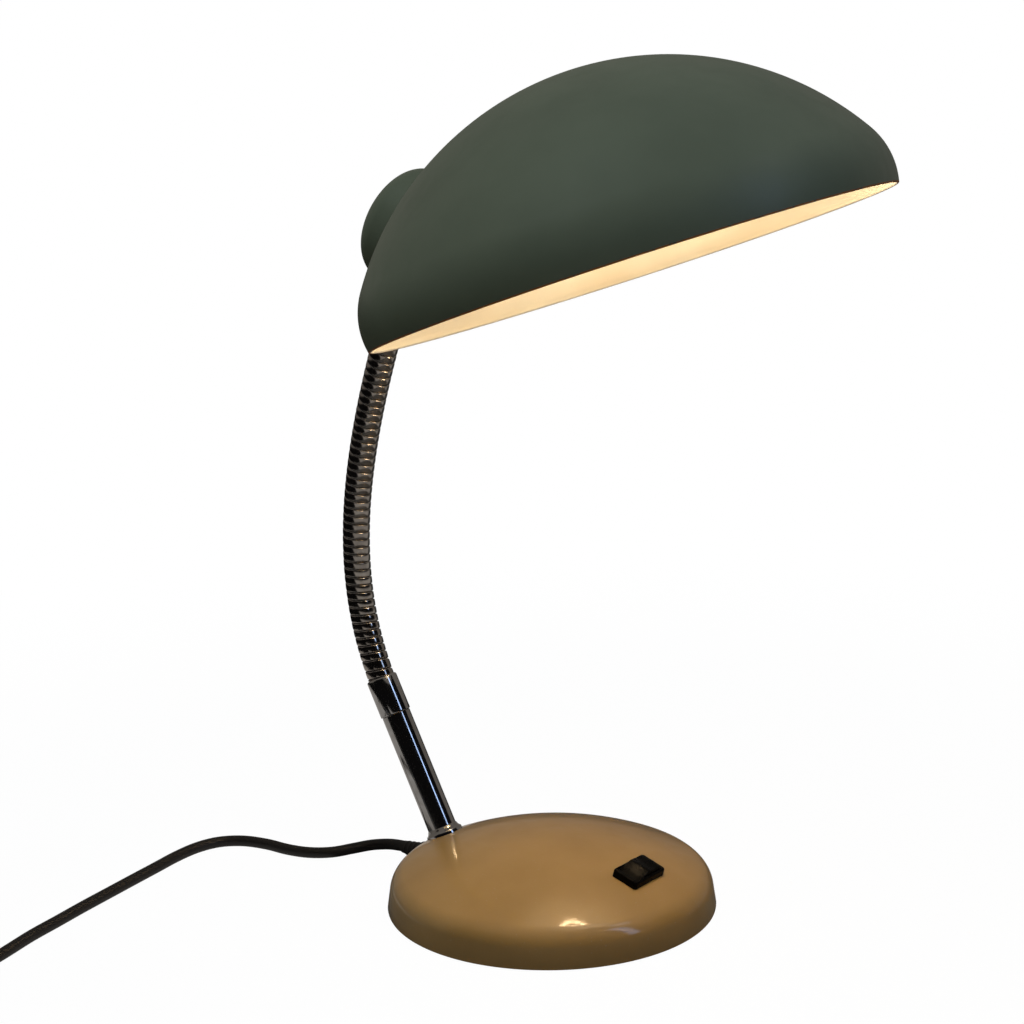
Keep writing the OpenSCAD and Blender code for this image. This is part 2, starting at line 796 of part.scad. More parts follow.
module terminal_block() {
  color("#e9e6dc")
  difference() {
    translate([block_x - block_size[0] / 2, -block_size[1] / 2, weight_z]) cube(block_size);
    for (y = [-5, 5]) {
      translate([block_x - 10, y, cord_z]) rotate([0, 90, 0]) cylinder(r = wire_r + 0.3, h = 20);
      translate([block_x, y, cord_z]) cylinder(r = 1.8, h = 20);
    }
  }
}

// Routes of the wires inside the base, from the cord's end to the block, the switch and the stem
wire_routes = [
  [[-43.9, 1.5, 9], [-43, 1.5, 9], [-42, 2, 9], [-40, 4.5, 9], [-38, 5, 9], [-36, 5, 9]],
  [[-43.9, -1.5, 9], [-43, -1.5, 9], [-42, -2, 9], [-40, -4.5, 9], [-38, -5, 9], [-36, -5, 9]],
  [[-30, -5, 9], [-27, -5, 9], [-22, -5, 12], [-17, -5.5, 18], [-8, -6, 19.5], [30, -7, 19.5], [41, -7, 18],
   [45, -7, 12], [47.8, -7, 8.4]],
  [[-30, 5, 9], [-27, 5, 9], [-22, 5, 12], [-17, 5.5, 18], [-8, 6, 19.5], [30, 6, 19.5], [41, 3, 18],
   [45, 0.5, 12], [47.8, 0, 8.4]],
  [[-33, 5, 12], [-34, 5, 16], [-42, 5, 18], [-56, 4, 17.5], [-66, 2, 14.8], [-71, 1.3, 15.5], [-74, 1.3, 21]],
  [[-33, -5, 12], [-34, -5, 16], [-42, -5, 18], [-56, -4, 17.5], [-66, -2, 14.8], [-71, -1.3, 15.5],
   [-74, -1.3, 21]]];

module base_wires() {
  color("#8a4a22")
  for (route = wire_routes) swept(route, wire_r, 8, [0, 1, 0]);
}

// Cord

coil_mid = [-234, -270];
lay_z = cord_d / 2;
// Route of the free cord over the table, between its two straight ends
cord_route = concat([[nose_x - seat, 0, cord_z], [nose_x - 3, 0, cord_z]],
  [[-117, -1.2, 8.4], [-126, -5.8, 7.3], [-133.2, -13.6, 6.1], [-141.5, -22.6, 4.8], [-153.5, -28.7, 3.8],
   [-168, -31.3, 3.2], [-184, -32.3, 3.2], [-199, -36.5, 3.2], [-209.5, -46, 3.2], [-213.8, -60, 3.2],
   [-213.5, -77, 3.2], [-211, -95, 3.2], [-208, -117, 3.2], [-205, -138, 3.2], [-202, -159, 3.2],
   [-198.5, -180, 3.2], [-195, -202, 3.2], [-189.5, -226, 3.2]],
  [[coil_mid[0] + coil_r, coil_mid[1] + 24, lay_z], [coil_mid[0] + coil_r, coil_mid[1] + cord_d, lay_z]]);

module cord() {
  color("#0f0f10")
  swept(cord_route, cord_d / 2, 8);
}

// The coil winds inwards on the table, climbs in half a turn and winds out again on top.
// Its angles run clockwise from the side where the cord comes in.
coil_step = 15;
tail_angle = 165;
coil_in = 360 * coil_turns;
coil_back = coil_in + 180;
coil_out = coil_back + 360 * (ceil(coil_turns) - 1) + ((tail_angle - coil_back) % 360 + 360) % 360;
function coil_radius(a) = let (mid = coil_in + 90) coil_r - coil_pitch * (min(a, mid) - max(0, a - mid)) / 360;
function coil_climb(a) = coil_pitch * (1 - cos(max(0, min(180, a - coil_in)))) / 2;
function coil_point(a) = [coil_mid[0] + coil_radius(a) * cos(a), coil_mid[1] - coil_radius(a) * sin(a),
  lay_z + coil_climb(a)];
tail_way = [-sin(coil_out), -cos(coil_out), 0];
tail_start = coil_point(coil_out) + cord_d * tail_way;
coil_turns_points = [for (a = [0:coil_step:coil_out]) coil_point(a)];
coil_points = concat([coil_turns_points[0] + [0, cord_d, 0]], coil_turns_points, [tail_start]);
coil_gap = min([for (i = [0:len(coil_turns_points) - 1], j = [i + 12:len(coil_turns_points) - 1])
  norm(coil_turns_points[i] - coil_turns_points[j])]) - cord_d;
echo(str("Least gap between the coil's turns: ", coil_gap, " mm"));

module cord_coil() {
  color("#0f0f10")
  swept(coil_points, cord_d / 2, 6);
}

// The tail runs straight on from the coil and comes down to the plug
plug_z = 7;
plug_start = 48;
tail_route = [for (p = [[0, coil_pitch], [10, coil_pitch], [20, coil_pitch - 0.4], [31, 5.2], [40, plug_z - lay_z],
  [plug_start, plug_z - lay_z]]) tail_start + p[0] * tail_way + [0, 0, p[1] - coil_pitch]];

module cord_tail() {
  color("#0f0f10")
  swept(tail_route, cord_d / 2, 8);
}

function path_length(points) = len(points) < 2 ? 0
  : norm(points[1] - points[0]) + path_length([for (i = [1:len(points) - 1]) points[i]]);
echo(str("Cord from the base to the plug: ",
  path_length(cord_route) + path_length(coil_points) + path_length(tail_route), " mm"));

// Two-pin plug, lying flat on the table
plug_relief_l = 20;
plug_l = 28;
plug_w = 26;
plug_back_w = 13;
plug_t = 2 * plug_z;
prong_l = 19;
prong_r = 2;
prong_gap = 18.6;

module at_plug() {
  translate([tail_start[0], tail_start[1], plug_z] + plug_start * tail_way)
    rotate([0, 0, atan2(tail_way[1], tail_way[0])]) children();
}

module plug_body() {
  color("#141415")
  at_plug() {
    translate([seat, 0, 0]) rotate([0, 90, 0])
      cylinder(r1 = cord_d / 2 + relief_end_wall, r2 = plug_z - 1.5, h = plug_relief_l + 1);
    translate([plug_relief_l, 0, -plug_t / 2]) linear_extrude(plug_t)
      polygon([[0, -plug_back_w / 2], [plug_l * 0.6, -plug_w / 2], [plug_l, -plug_w / 2],
        [plug_l, plug_w / 2], [plug_l * 0.6, plug_w / 2], [0, plug_back_w / 2]]);
  }
}

module plug_pins() {
  color("#c9cbce")
  at_plug() for (side = [-1, 1]) {
    translate([plug_relief_l + plug_l, side * prong_gap / 2, 0]) rotate([0, 90, 0]) {
      cylinder(r = prong_r, h = prong_l - prong_r);
      translate([0, 0, prong_l - prong_r]) sphere(r = prong_r);
    }
  }
}

base_shell();
base_weight();
base_plate();
base_pad();
plate_screws();
switch_housing();
switch_rocker();
switch_terminals();
stem_collar();
stem_tube();
stem_nipple();
stem_washer();
stem_nut();
lower_ferrule();
for (k = [1:links]) {
  neck_link(k);
}
upper_ferrule();
neck_nipple();
neck_washer();
neck_nut();
rear_cup();
cup_screws();
shade();
holder_body();
holder_contacts();
shade_ring();
bulb_glass();
bulb_cap();
head_wires();
cord_bushing();
inner_lead();
cord_clamp();
clamp_screws();
terminal_block();
base_wires();
cord();
cord_coil();
cord_tail();
plug_body();
plug_pins();
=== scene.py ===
"""Gooseneck desk lamp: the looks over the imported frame.

Each sub-assembly is a class that holds its sizes in millimetres, as on the lamp's drawing, makes
its meshes in the lamp's own frame and dresses them with the finishes that the real parts have.
The origin is the middle of the base's underside, +X is the front and +Z is up.
"""

import json
import logging
import math
from abc import ABC, abstractmethod
from dataclasses import dataclass, field
from enum import Enum
from typing import Iterable, Sequence

import bmesh
import bpy
from mathutils import Matrix, Vector

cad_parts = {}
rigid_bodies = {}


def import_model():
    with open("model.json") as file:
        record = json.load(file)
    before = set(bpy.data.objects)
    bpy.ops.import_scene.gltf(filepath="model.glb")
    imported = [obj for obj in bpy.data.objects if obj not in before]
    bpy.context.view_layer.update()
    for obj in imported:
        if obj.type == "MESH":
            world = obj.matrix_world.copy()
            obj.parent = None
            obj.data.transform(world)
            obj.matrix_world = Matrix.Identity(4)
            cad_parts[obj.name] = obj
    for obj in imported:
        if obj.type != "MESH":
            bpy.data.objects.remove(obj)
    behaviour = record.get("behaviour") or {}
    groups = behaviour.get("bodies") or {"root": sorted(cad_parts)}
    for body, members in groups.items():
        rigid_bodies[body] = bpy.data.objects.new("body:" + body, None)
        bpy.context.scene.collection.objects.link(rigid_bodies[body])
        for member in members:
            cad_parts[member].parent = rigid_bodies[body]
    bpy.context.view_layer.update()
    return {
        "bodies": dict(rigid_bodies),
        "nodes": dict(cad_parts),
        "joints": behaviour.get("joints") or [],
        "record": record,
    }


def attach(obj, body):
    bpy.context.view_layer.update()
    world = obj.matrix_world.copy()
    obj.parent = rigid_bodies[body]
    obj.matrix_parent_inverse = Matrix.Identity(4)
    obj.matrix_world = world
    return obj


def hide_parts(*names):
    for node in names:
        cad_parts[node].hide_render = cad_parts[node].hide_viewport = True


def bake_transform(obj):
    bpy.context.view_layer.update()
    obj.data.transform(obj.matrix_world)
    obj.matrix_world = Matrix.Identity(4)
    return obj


log = logging.getLogger("desk_lamp")

MM = 0.001
Outline = list[tuple[float, float]]
Object = bpy.types.Object
Tree = bpy.types.NodeTree
Node = bpy.types.Node
Socket = bpy.types.NodeSocket


class Body(Enum):
    """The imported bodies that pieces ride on. The gooseneck's links have a number each."""

    BASE = "base"
    ROCKER = "rocker"
    HEAD = "head"


class Slot(Enum):
    """The record's material slots, by name."""

    BASE_ENAMEL = "base_enamel"
    SHADE_ENAMEL = "shade_enamel"
    CUP_ENAMEL = "cup_enamel"
    CHROME = "chrome"
    NECK_CHROME = "neck_chrome"
    SWITCH_PLASTIC = "switch_plastic"
    BULB_GLASS = "bulb_glass"
    STEEL = "steel"
    CORD_SHEATH = "cord_sheath"
    PLUG_PLASTIC = "plug_plastic"
    CLAMP_PLASTIC = "clamp_plastic"


def linear(colour: str) -> tuple[float, float, float, float]:
    """Turns an sRGB hex colour to linear light.

    Args:
        colour: The colour.

    Returns:
        Red, green and blue, with full alpha.
    """
    parts = [int(colour[i:i + 2], 16) / 255 for i in (1, 3, 5)]
    lit = [p / 12.92 if p <= 0.04045 else ((p + 0.055) / 1.055) ** 2.4 for p in parts]
    return (lit[0], lit[1], lit[2], 1.0)


def per(size: float) -> float:
    """Gives the scale of a noise whose marks are that many millimetres across."""
    return 1 / (size * MM)


def feed(tree: Tree, node: Node, inputs: dict[str | int, object]) -> None:
    """Sets or links sockets of a node.

    Args:
        tree: The node's tree.
        node: The node.
        inputs: For a socket's name or number, its value or the output linked to it.
    """
    for socket, value in inputs.items():
        if isinstance(value, Socket):
            tree.links.new(value, node.inputs[socket])
        else:
            node.inputs[socket].default_value = value


def add_node(
    tree: Tree, kind: str, inputs: dict[str | int, object] | None = None, **settings: object
) -> Node:
    """Adds one shader node to a tree.

    Args:
        tree: The tree that it goes into.
        kind: Blender's name of the node after "ShaderNode".
        inputs: For a socket's name or number, its value or the output linked to it.
        settings: The node's own properties.

    Returns:
        The node.
    """
    node = tree.nodes.new("ShaderNode" + kind)
    for name, value in settings.items():
        setattr(node, name, value)
    feed(tree, node, inputs or {})
    return node


@dataclass(frozen=True)
class Finish(ABC):
    """What a surface is made of. Its material is made once and kept under its name."""

    name: str

    def material(self) -> bpy.types.Material:
        """Makes the finish's material, or finds it where it is made already.

        Returns:
            The material.
        """
        found = bpy.data.materials.get(self.name)
        if found is None:
            found = bpy.data.materials.new(self.name)
            found.use_nodes = True
            tree = found.node_tree
            place = add_node(tree, "TexCoord").outputs["Object"]
            self.dress(tree, tree.nodes["Principled BSDF"], place)
        return found

    @abstractmethod
    def dress(self, tree: Tree, shader: Node, place: Socket) -> None:
        """Sets the shader and adds the nodes that feed it.

        Args:
            tree: The material's tree.
            shader: Its Principled BSDF.
            place: The point on the object, in metres, for the patterns.
        """


@dataclass(frozen=True)
class StovingEnamel(Finish):
    """Stoving enamel, sprayed on spun sheet steel and baked.

    The eye gets an even colour with faint clouds where the coat is thicker, a satin gloss with a
    brighter core from the clear top of the coat, fine orange peel in the reflections and a little
    dust.
    """

    colour: str
    cloud: str
    roughness: float = 0.42
    coat: float = 0.35
    coat_roughness: float = 0.14
    specular: float = 0.4
    cloud_size: float = 45.0
    peel_size: float = 1.5
    peel_depth: float = 0.035
    dust: str = "#B9AE96"
    dust_share: float = 0.25
    wipe_size: float = 18.0
    speck_size: float = 1.1

    def dress(self, tree: Tree, shader: Node, place: Socket) -> None:
        """Sets colour from clouds and dust, roughness from wiping marks, bump from orange peel.

        Args:
            tree: The material's tree.
            shader: Its Principled BSDF.
            place: The point on the object, in metres.
        """
        clouds = add_node(tree, "TexNoise", {"Vector": place, "Scale": per(self.cloud_size), "Detail": 3.0})
        share = add_node(
            tree, "MapRange", {"Value": clouds.outputs["Fac"], "From Min": 0.36, "From Max": 0.64}
        )
        tint = add_node(
            tree,
            "Mix",
            {0: share.outputs[0], 6: linear(self.colour), 7: linear(self.cloud)},
            data_type="RGBA",
        )
        specks = add_node(tree, "TexNoise", {"Vector": place, "Scale": per(self.speck_size), "Detail": 1.0})
        seen = add_node(
            tree,
            "MapRange",
            {"Value": specks.outputs["Fac"], "From Min": 0.72, "From Max": 0.78, "To Max": self.dust_share},
        )
        colour = add_node(
            tree, "Mix", {0: seen.outputs[0], 6: tint.outputs[2], 7: linear(self.dust)}, data_type="RGBA"
        )
        wiped = add_node(
            tree,
            "TexNoise",
            {"Vector": place, "Scale": per(self.wipe_size), "Detail": 4.0, "Distortion": 0.6},
        )
        rough = add_node(
            tree,
            "MapRange",
            {
                "Value": wiped.outputs["Fac"],
                "From Min": 0.3,
                "From Max": 0.7,
                "To Min": self.roughness - 0.05,
                "To Max": self.roughness + 0.06,
            },
        )
        peel = add_node(tree, "TexNoise", {"Vector": place, "Scale": per(self.peel_size), "Detail": 2.0})
        bump = add_node(
            tree, "Bump", {"Height": peel.outputs["Fac"], "Distance": self.peel_depth * MM, "Strength": 0.6}
        )
        looks = {
            "Base Color": colour.outputs[2],
            "Roughness": rough.outputs[0],
            "Normal": bump.outputs[0],
            "Coat Normal": bump.outputs[0],
            "Specular IOR Level": self.specular,
            "Coat Weight": self.coat,
            "Coat Roughness": self.coat_roughness,
        }
        feed(tree, shader, looks)


@dataclass(frozen=True)
# Draws an orange-brown line along the shade's hem, broken up by a noise.
class OrangeLineHem(Finish):
    """The shade's rolled hem, with a thin orange-brown line that breaks up into the dark enamel.
    """

    enamel: str
    orange_line: str
    patch_size: float = 7.0

    def dress(self, tree: Tree, shader: Node, place: Socket) -> None:
        """Breaks the orange-brown line up with a noise, duller and rougher than the enamel round it.

        Args:
            tree: The material's tree.
            shader: Its Principled BSDF.
            place: The point on the object, in metres.
        """
        patches = add_node(
            tree,
            "TexNoise",
            {"Vector": place, "Scale": per(self.patch_size), "Detail": 6.0, "Roughness": 0.65},
        )
        line_share = add_node(
            tree, "MapRange", {"Value": patches.outputs["Fac"], "From Min": 0.36, "From Max": 0.5}
        )
        colour = add_node(
            tree,
            "Mix",
            {0: line_share.outputs[0], 6: linear(self.enamel), 7: linear(self.orange_line)},
            data_type="RGBA",
        )
        rough = add_node(tree, "MapRange", {"Value": line_share.outputs[0], "To Min": 0.42, "To Max": 0.62})
        bump = add_node(tree, "Bump", {"Height": line_share.outputs[0], "Distance": -0.03 * MM, "Strength": 0.5})
        looks = {
            "Base Color": colour.outputs[2],
            "Roughness": rough.outputs[0],
            "Normal": bump.outputs[0],
        }
        feed(tree, shader, looks)


@dataclass(frozen=True)
class ChromePlate(Finish):
    """Chrome plate over polished steel.

    The eye gets a mirror with a slightly dull film of age, a few cloudy wipe marks and hair-fine
    polishing waves that loosen the edges of reflections.
    """

    colour: str
    roughness: float = 0.08
    film: float = 0.07
    filmed: str = "#8F8B86"
    wave_depth: float = 0.003
    wave_size: float = 2.2
    film_size: float = 9.0

    def dress(self, tree: Tree, shader: Node, place: Socket) -> None:
        """Sets a metal whose roughness and bump come from the film and the polishing waves.

        Args:
            tree: The material's tree.
            shader: Its Principled BSDF.
            place: The point on the object, in metres.
        """
        film = add_node(
            tree,
            "TexNoise",
            {"Vector": place, "Scale": per(self.film_size), "Detail": 5.0, "Distortion": 0.8},
        )
        rough = add_node(
            tree,
            "MapRange",
            {
                "Value": film.outputs["Fac"],
                "From Min": 0.35,
                "From Max": 0.75,
                "To Min": self.roughness,
                "To Max": self.roughness + self.film,
            },
        )
        shade = add_node(
            tree,
            "Mix",
            {0: film.outputs["Fac"], 6: linear(self.colour), 7: linear(self.filmed)},
            data_type="RGBA",
        )
        waves = add_node(tree, "TexNoise", {"Vector": place, "Scale": per(self.wave_size), "Detail": 2.0})
        bump = add_node(
            tree, "Bump", {"Height": waves.outputs["Fac"], "Distance": self.wave_depth * MM, "Strength": 0.5}
        )
        looks = {
            "Metallic": 1.0,
            "Base Color": shade.outputs[2],
            "Roughness": rough.outputs[0],
            "Normal": bump.outputs[0],
        }
        feed(tree, shader, looks)


@dataclass(frozen=True)
class WoundStripPlate(Finish):
    """Plated steel strip, wound edge in edge into a flexible tube.

    The eye gets dull grey bands with a soft sheen, and near-black grooves between them, drawn as the grime
    that they hold together with painted shade in the grooves. The mesh says where the grooves are.
    """

    colour: str
    groove_grime_and_shade: str
    roughness: float = 0.1
    filmed: str = "#6F6A66"
    film_size: float = 6.0
    scratch_size: float = 0.9

    def dress(self, tree: Tree, shader: Node, place: Socket) -> None:
        """Darkens and dulls the plate by the mesh's groove attribute.

        Args:
            tree: The material's tree.
            shader: Its Principled BSDF.
            place: The point on the object, in metres.
        """
        groove = add_node(tree, "Attribute", attribute_name="groove")
        film = add_node(
            tree,
            "TexNoise",
            {"Vector": place, "Scale": per(self.film_size), "Detail": 5.0, "Distortion": 0.5},
        )
        tint = add_node(
            tree,
            "Mix",
            {0: film.outputs["Fac"], 6: linear(self.colour), 7: linear(self.filmed)},
            data_type="RGBA",
        )
        # The grooves take the near-black colour: grime, and painted shade in them.
        colour = add_node(
            tree,
            "Mix",
            {0: groove.outputs["Fac"], 6: tint.outputs[2], 7: linear(self.groove_grime_and_shade)},
            data_type="RGBA",
        )
        dull = add_node(
            tree, "MapRange", {"Value": groove.outputs["Fac"], "To Min": self.roughness, "To Max": 0.7}
        )
        rough = add_node(
            tree, "Math", {0: film.outputs["Fac"], 1: 0.06, 2: dull.outputs[0]}, operation="MULTIPLY_ADD"
        )
        metal = add_node(tree, "MapRange", {"Value": groove.outputs["Fac"], "To Min": 1.0, "To Max": 0.3})
        scratches = add_node(
            tree, "TexNoise", {"Vector": place, "Scale": per(self.scratch_size), "Detail": 3.0}
        )
        bump = add_node(
            tree, "Bump", {"Height": scratches.outputs["Fac"], "Distance": 0.01 * MM, "Strength": 0.5}
        )
        looks = {
            "Base Color": colour.outputs[2],
            "Metallic": metal.outputs[0],
            "Roughness": rough.outputs[0],
            "Normal": bump.outputs[0],
        }
        feed(tree, shader, looks)


@dataclass(frozen=True)
class MouldedPlastic(Finish):
    """Moulded plastic, such as the ABS of a switch or the Bakelite of a lampholder.

    The eye gets an even, slightly greasy sheen over a fine moulded grain, with paler rub marks.
    """

    colour: str
    rubbed: str
    roughness: float = 0.35
    specular: float = 0.5
    grain_size: float = 0.5
    grain_depth: float = 0.02
    rub_size: float = 7.0

    def dress(self, tree: Tree, shader: Node, place: Socket) -> None:
        """Sets colour and roughness from rub marks, and bump from the mould's grain.

        Args:
            tree: The material's tree.
            shader: Its Principled BSDF.
            place: The point on the object, in metres.
        """
        rubs = add_node(
            tree,
            "TexNoise",
            {"Vector": place, "Scale": per(self.rub_size), "Detail": 4.0, "Distortion": 1.0},
        )
        share = add_node(tree, "MapRange", {"Value": rubs.outputs["Fac"], "From Min": 0.5, "From Max": 0.8})
        colour = add_node(
            tree,
            "Mix",
            {0: share.outputs[0], 6: linear(self.colour), 7: linear(self.rubbed)},
            data_type="RGBA",
        )
        rough = add_node(
            tree,
            "MapRange",
            {"Value": rubs.outputs["Fac"], "To Min": self.roughness - 0.08, "To Max": self.roughness + 0.12},
        )
        grain = add_node(tree, "TexNoise", {"Vector": place, "Scale": per(self.grain_size), "Detail": 1.0})
        bump = add_node(
            tree, "Bump", {"Height": grain.outputs["Fac"], "Distance": self.grain_depth * MM, "Strength": 0.5}
        )
        looks = {
            "Specular IOR Level": self.specular,
            "Base Color": colour.outputs[2],
            "Roughness": rough.outputs[0],
            "Normal": bump.outputs[0],
        }
        feed(tree, shader, looks)


@dataclass(frozen=True)
class OpalGlass(Finish):
    """Opal glass of a lit incandescent bulb, coated white inside.

    The eye gets a warm, nearly even glow that dims a little where the coat is thicker.
    """

    colour: str
    glow: str
    strength: float
    coat_size: float = 14.0

    def dress(self, tree: Tree, shader: Node, place: Socket) -> None:
        """Sets a smooth white glass that gives off warm light.

        Args:
            tree: The material's tree.
            shader: Its Principled BSDF.
            place: The point on the object, in metres.
        """
        coat = add_node(tree, "TexNoise", {"Vector": place, "Scale": per(self.coat_size), "Detail": 2.0})
        share = add_node(tree, "MapRange", {"Value": coat.outputs["Fac"], "To Min": 0.9, "To Max": 1.08})
        strength = add_node(tree, "Math", {0: share.outputs[0], 1: self.strength}, operation="MULTIPLY")
        looks = {
            "Emission Strength": strength.outputs[0],
            "Emission Color": linear(self.glow),
            "Base Color": linear(self.colour),
            "Roughness": 0.12,
        }
        feed(tree, shader, looks)


@dataclass(frozen=True)
class TurnedMetal(Finish):
    """Plain turned, pressed or cast metal, such as brass, zinc-plated steel or cast iron.

    The eye gets a metal with mottled crystals or casting skin, more or less dull and rough.
    """

    colour: str
    mottle: str
    roughness: float = 0.35
    metallic: float = 1.0
    mottle_size: float = 4.0
    skin_depth: float = 0.02
    skin_size: float = 0.8

    def dress(self, tree: Tree, shader: Node, place: Socket) -> None:
        """Sets colour and roughness from crystals, and bump from the skin.

        Args:
            tree: The material's tree.
            shader: Its Principled BSDF.
            place: The point on the object, in metres.
        """
        crystals = add_node(tree, "TexVoronoi", {"Vector": place, "Scale": per(self.mottle_size)})
        colour = add_node(
            tree,
            "Mix",
            {0: crystals.outputs["Distance"], 6: linear(self.colour), 7: linear(self.mottle)},
            data_type="RGBA",
        )
        rough = add_node(
            tree,
            "MapRange",
            {
                "Value": crystals.outputs["Distance"],
                "To Min": self.roughness - 0.06,
                "To Max": self.roughness + 0.1,
            },
        )
        skin = add_node(tree, "TexNoise", {"Vector": place, "Scale": per(self.skin_size), "Detail": 4.0})
        bump = add_node(
            tree, "Bump", {"Height": skin.outputs["Fac"], "Distance": self.skin_depth * MM, "Strength": 0.6}
        )
        looks = {
            "Metallic": self.metallic,
            "Base Color": colour.outputs[2],
            "Roughness": rough.outputs[0],
            "Normal": bump.outputs[0],
        }
        feed(tree, shader, looks)


@dataclass(frozen=True)
class PressedFelt(Finish):
    """Pressed wool felt, glued under the base.

    The eye gets a matt, dark green-grey mat of short fibres with paler lint.
    """

    colour: str
    lint: str
    fibre_size: float = 0.6

    def dress(self, tree: Tree, shader: Node, place: Socket) -> None:
        """Sets a matt cloth whose fibres, drawn 0.6 mm wide so that they show, give colour and bump.

        Args:
            tree: The material's tree.
            shader: Its Principled BSDF.
            place: The point on the object, in metres.
        """
        fibres = add_node(
            tree,
            "TexNoise",
            {"Vector": place, "Scale": per(self.fibre_size), "Detail": 6.0, "Roughness": 0.7},
        )
        colour = add_node(
            tree,
            "Mix",
            {0: fibres.outputs["Fac"], 6: linear(self.colour), 7: linear(self.lint)},
            data_type="RGBA",
        )
        bump = add_node(
            tree, "Bump", {"Height": fibres.outputs["Fac"], "Distance": 0.2 * MM, "Strength": 0.8}
        )
        looks = {
            "Roughness": 0.95,
            "Sheen Weight": 0.3,
            "Base Color": colour.outputs[2],
            "Normal": bump.outputs[0],
        }
        feed(tree, shader, looks)


# The beige of the base leans to mustard, and its clouds to olive.
BASE_ENAMEL = StovingEnamel(
    "base_enamel_beige", "#AF884E", "#A37D45", coat=0.85, coat_roughness=0.09, specular=0.25, cloud_size=60.0
)
# A dark olive grey with a finer peel, sprayed over the dome and the cup.
SHADE_ENAMEL = StovingEnamel(
    "shade_enamel_olive_grey", "#70775F", "#6A715A", roughness=0.5, coat=0.12, coat_roughness=0.3,
    specular=0.32, cloud_size=55.0, peel_size=1.2, dust="#6C6A62"
)
# The inside is sprayed cream to throw the bulb's light down.
INSIDE_ENAMEL = StovingEnamel(
    "inside_enamel_cream", "#FCF3DD", "#F8EBD0", roughness=0.45, coat=0.08, specular=0.15, dust_share=0.1
)
HEM_ENAMEL = OrangeLineHem("hem_enamel_orange_line", "#4A4436", "#A4602A")
CHROME = ChromePlate("chrome_plate_polished", "#C6C8CB")
# The second colour is the grooves' near black: grime, and painted shade in them.
NECK_PLATE = WoundStripPlate("wound_strip_plate", "#C4BEB8", "#100E0B")
SWITCH_ABS = MouldedPlastic("switch_abs_black", "#060504", "#0D0C0A", roughness=0.26, specular=0.05)
HOLDER_BAKELITE = MouldedPlastic("holder_bakelite", "#17120E", "#2C241C", roughness=0.28)
CLAMP_NYLON = MouldedPlastic("clamp_nylon", "#2A2A2C", "#3A3A3C", roughness=0.5)
BLOCK_PLASTIC = MouldedPlastic("terminal_block_polyamide", "#E5E1D4", "#CFCABB", roughness=0.5)
CORD_PVC = MouldedPlastic("cord_pvc_black", "#0C0A09", "#171412", roughness=0.52, grain_size=0.8)
PLUG_PVC = MouldedPlastic("plug_pvc_black", "#131213", "#242324", roughness=0.4)
WIRE_PVC = MouldedPlastic("wire_pvc_brown", "#7A4422", "#5F3418", roughness=0.45)
BULB_OPAL = OpalGlass("bulb_glass_opal", "#FFF6E6", "#FFE6C4", 0.8)
BRASS = TurnedMetal("brass_turned", "#B5933F", "#8D7030", roughness=0.3)
ZINC_STEEL = TurnedMetal("steel_zinc_plated", "#B4B6B9", "#8F9295", roughness=0.35, mottle_size=6.0)
CAST_IRON = TurnedMetal(
    "cast_iron_weight", "#3A3A3C", "#2A2A2B", roughness=0.7, metallic=0.6, mottle_size=3.0, skin_depth=0.3
)
CAP_ALUMINIUM = TurnedMetal("bulb_cap_aluminium", "#C4C5C7", "#A9AAAC", roughness=0.3, mottle_size=2.0)
FELT = PressedFelt("felt_grey_green", "#1B1E1A", "#33372F")


def arc(
    mid: tuple[float, float], r: float, start: float, end: float, steps: int
) -> Outline:
    """Gives the points of an arc, both ends among them.

    Args:
        mid: The arc's centre.
        r: Its radius.
        start: The angle of its first point in degrees.
        end: The angle of its last point in degrees.
        steps: How many parts it has.

    Returns:
        The points.
    """
    angles = [math.radians(start + (end - start) * i / steps) for i in range(steps + 1)]
    return [(mid[0] + r * math.cos(a), mid[1] + r * math.sin(a)) for a in angles]


def turn_about(axis: str, angle: float) -> Matrix:
    """Gives a turn about an axis, by an angle in degrees."""
    return Matrix.Rotation(math.radians(angle), 4, axis)


def shift(x: float, y: float, z: float) -> Matrix:
    """Gives a shift in millimetres."""
    return Matrix.Translation((x, y, z))


def placed(name: str, data: bpy.types.ID) -> Object:
    """Makes an object of a mesh, a curve, a lamp or a camera, and puts it in the scene.

    Args:
        name: Its name.
        data: What it is made of.

    Returns:
        The object.
    """
    made = bpy.data.objects.new(name, data)
    bpy.context.scene.collection.objects.link(made)
    return made


def bare_material(name: str) -> bpy.types.Material:
    """Makes a material that has nothing but its output yet.

    Args:
        name: Its name.

    Returns:
        The material.
    """
    made = bpy.data.materials.new(name)
    made.use_nodes = True
    made.node_tree.nodes.remove(made.node_tree.nodes["Principled BSDF"])
    return made


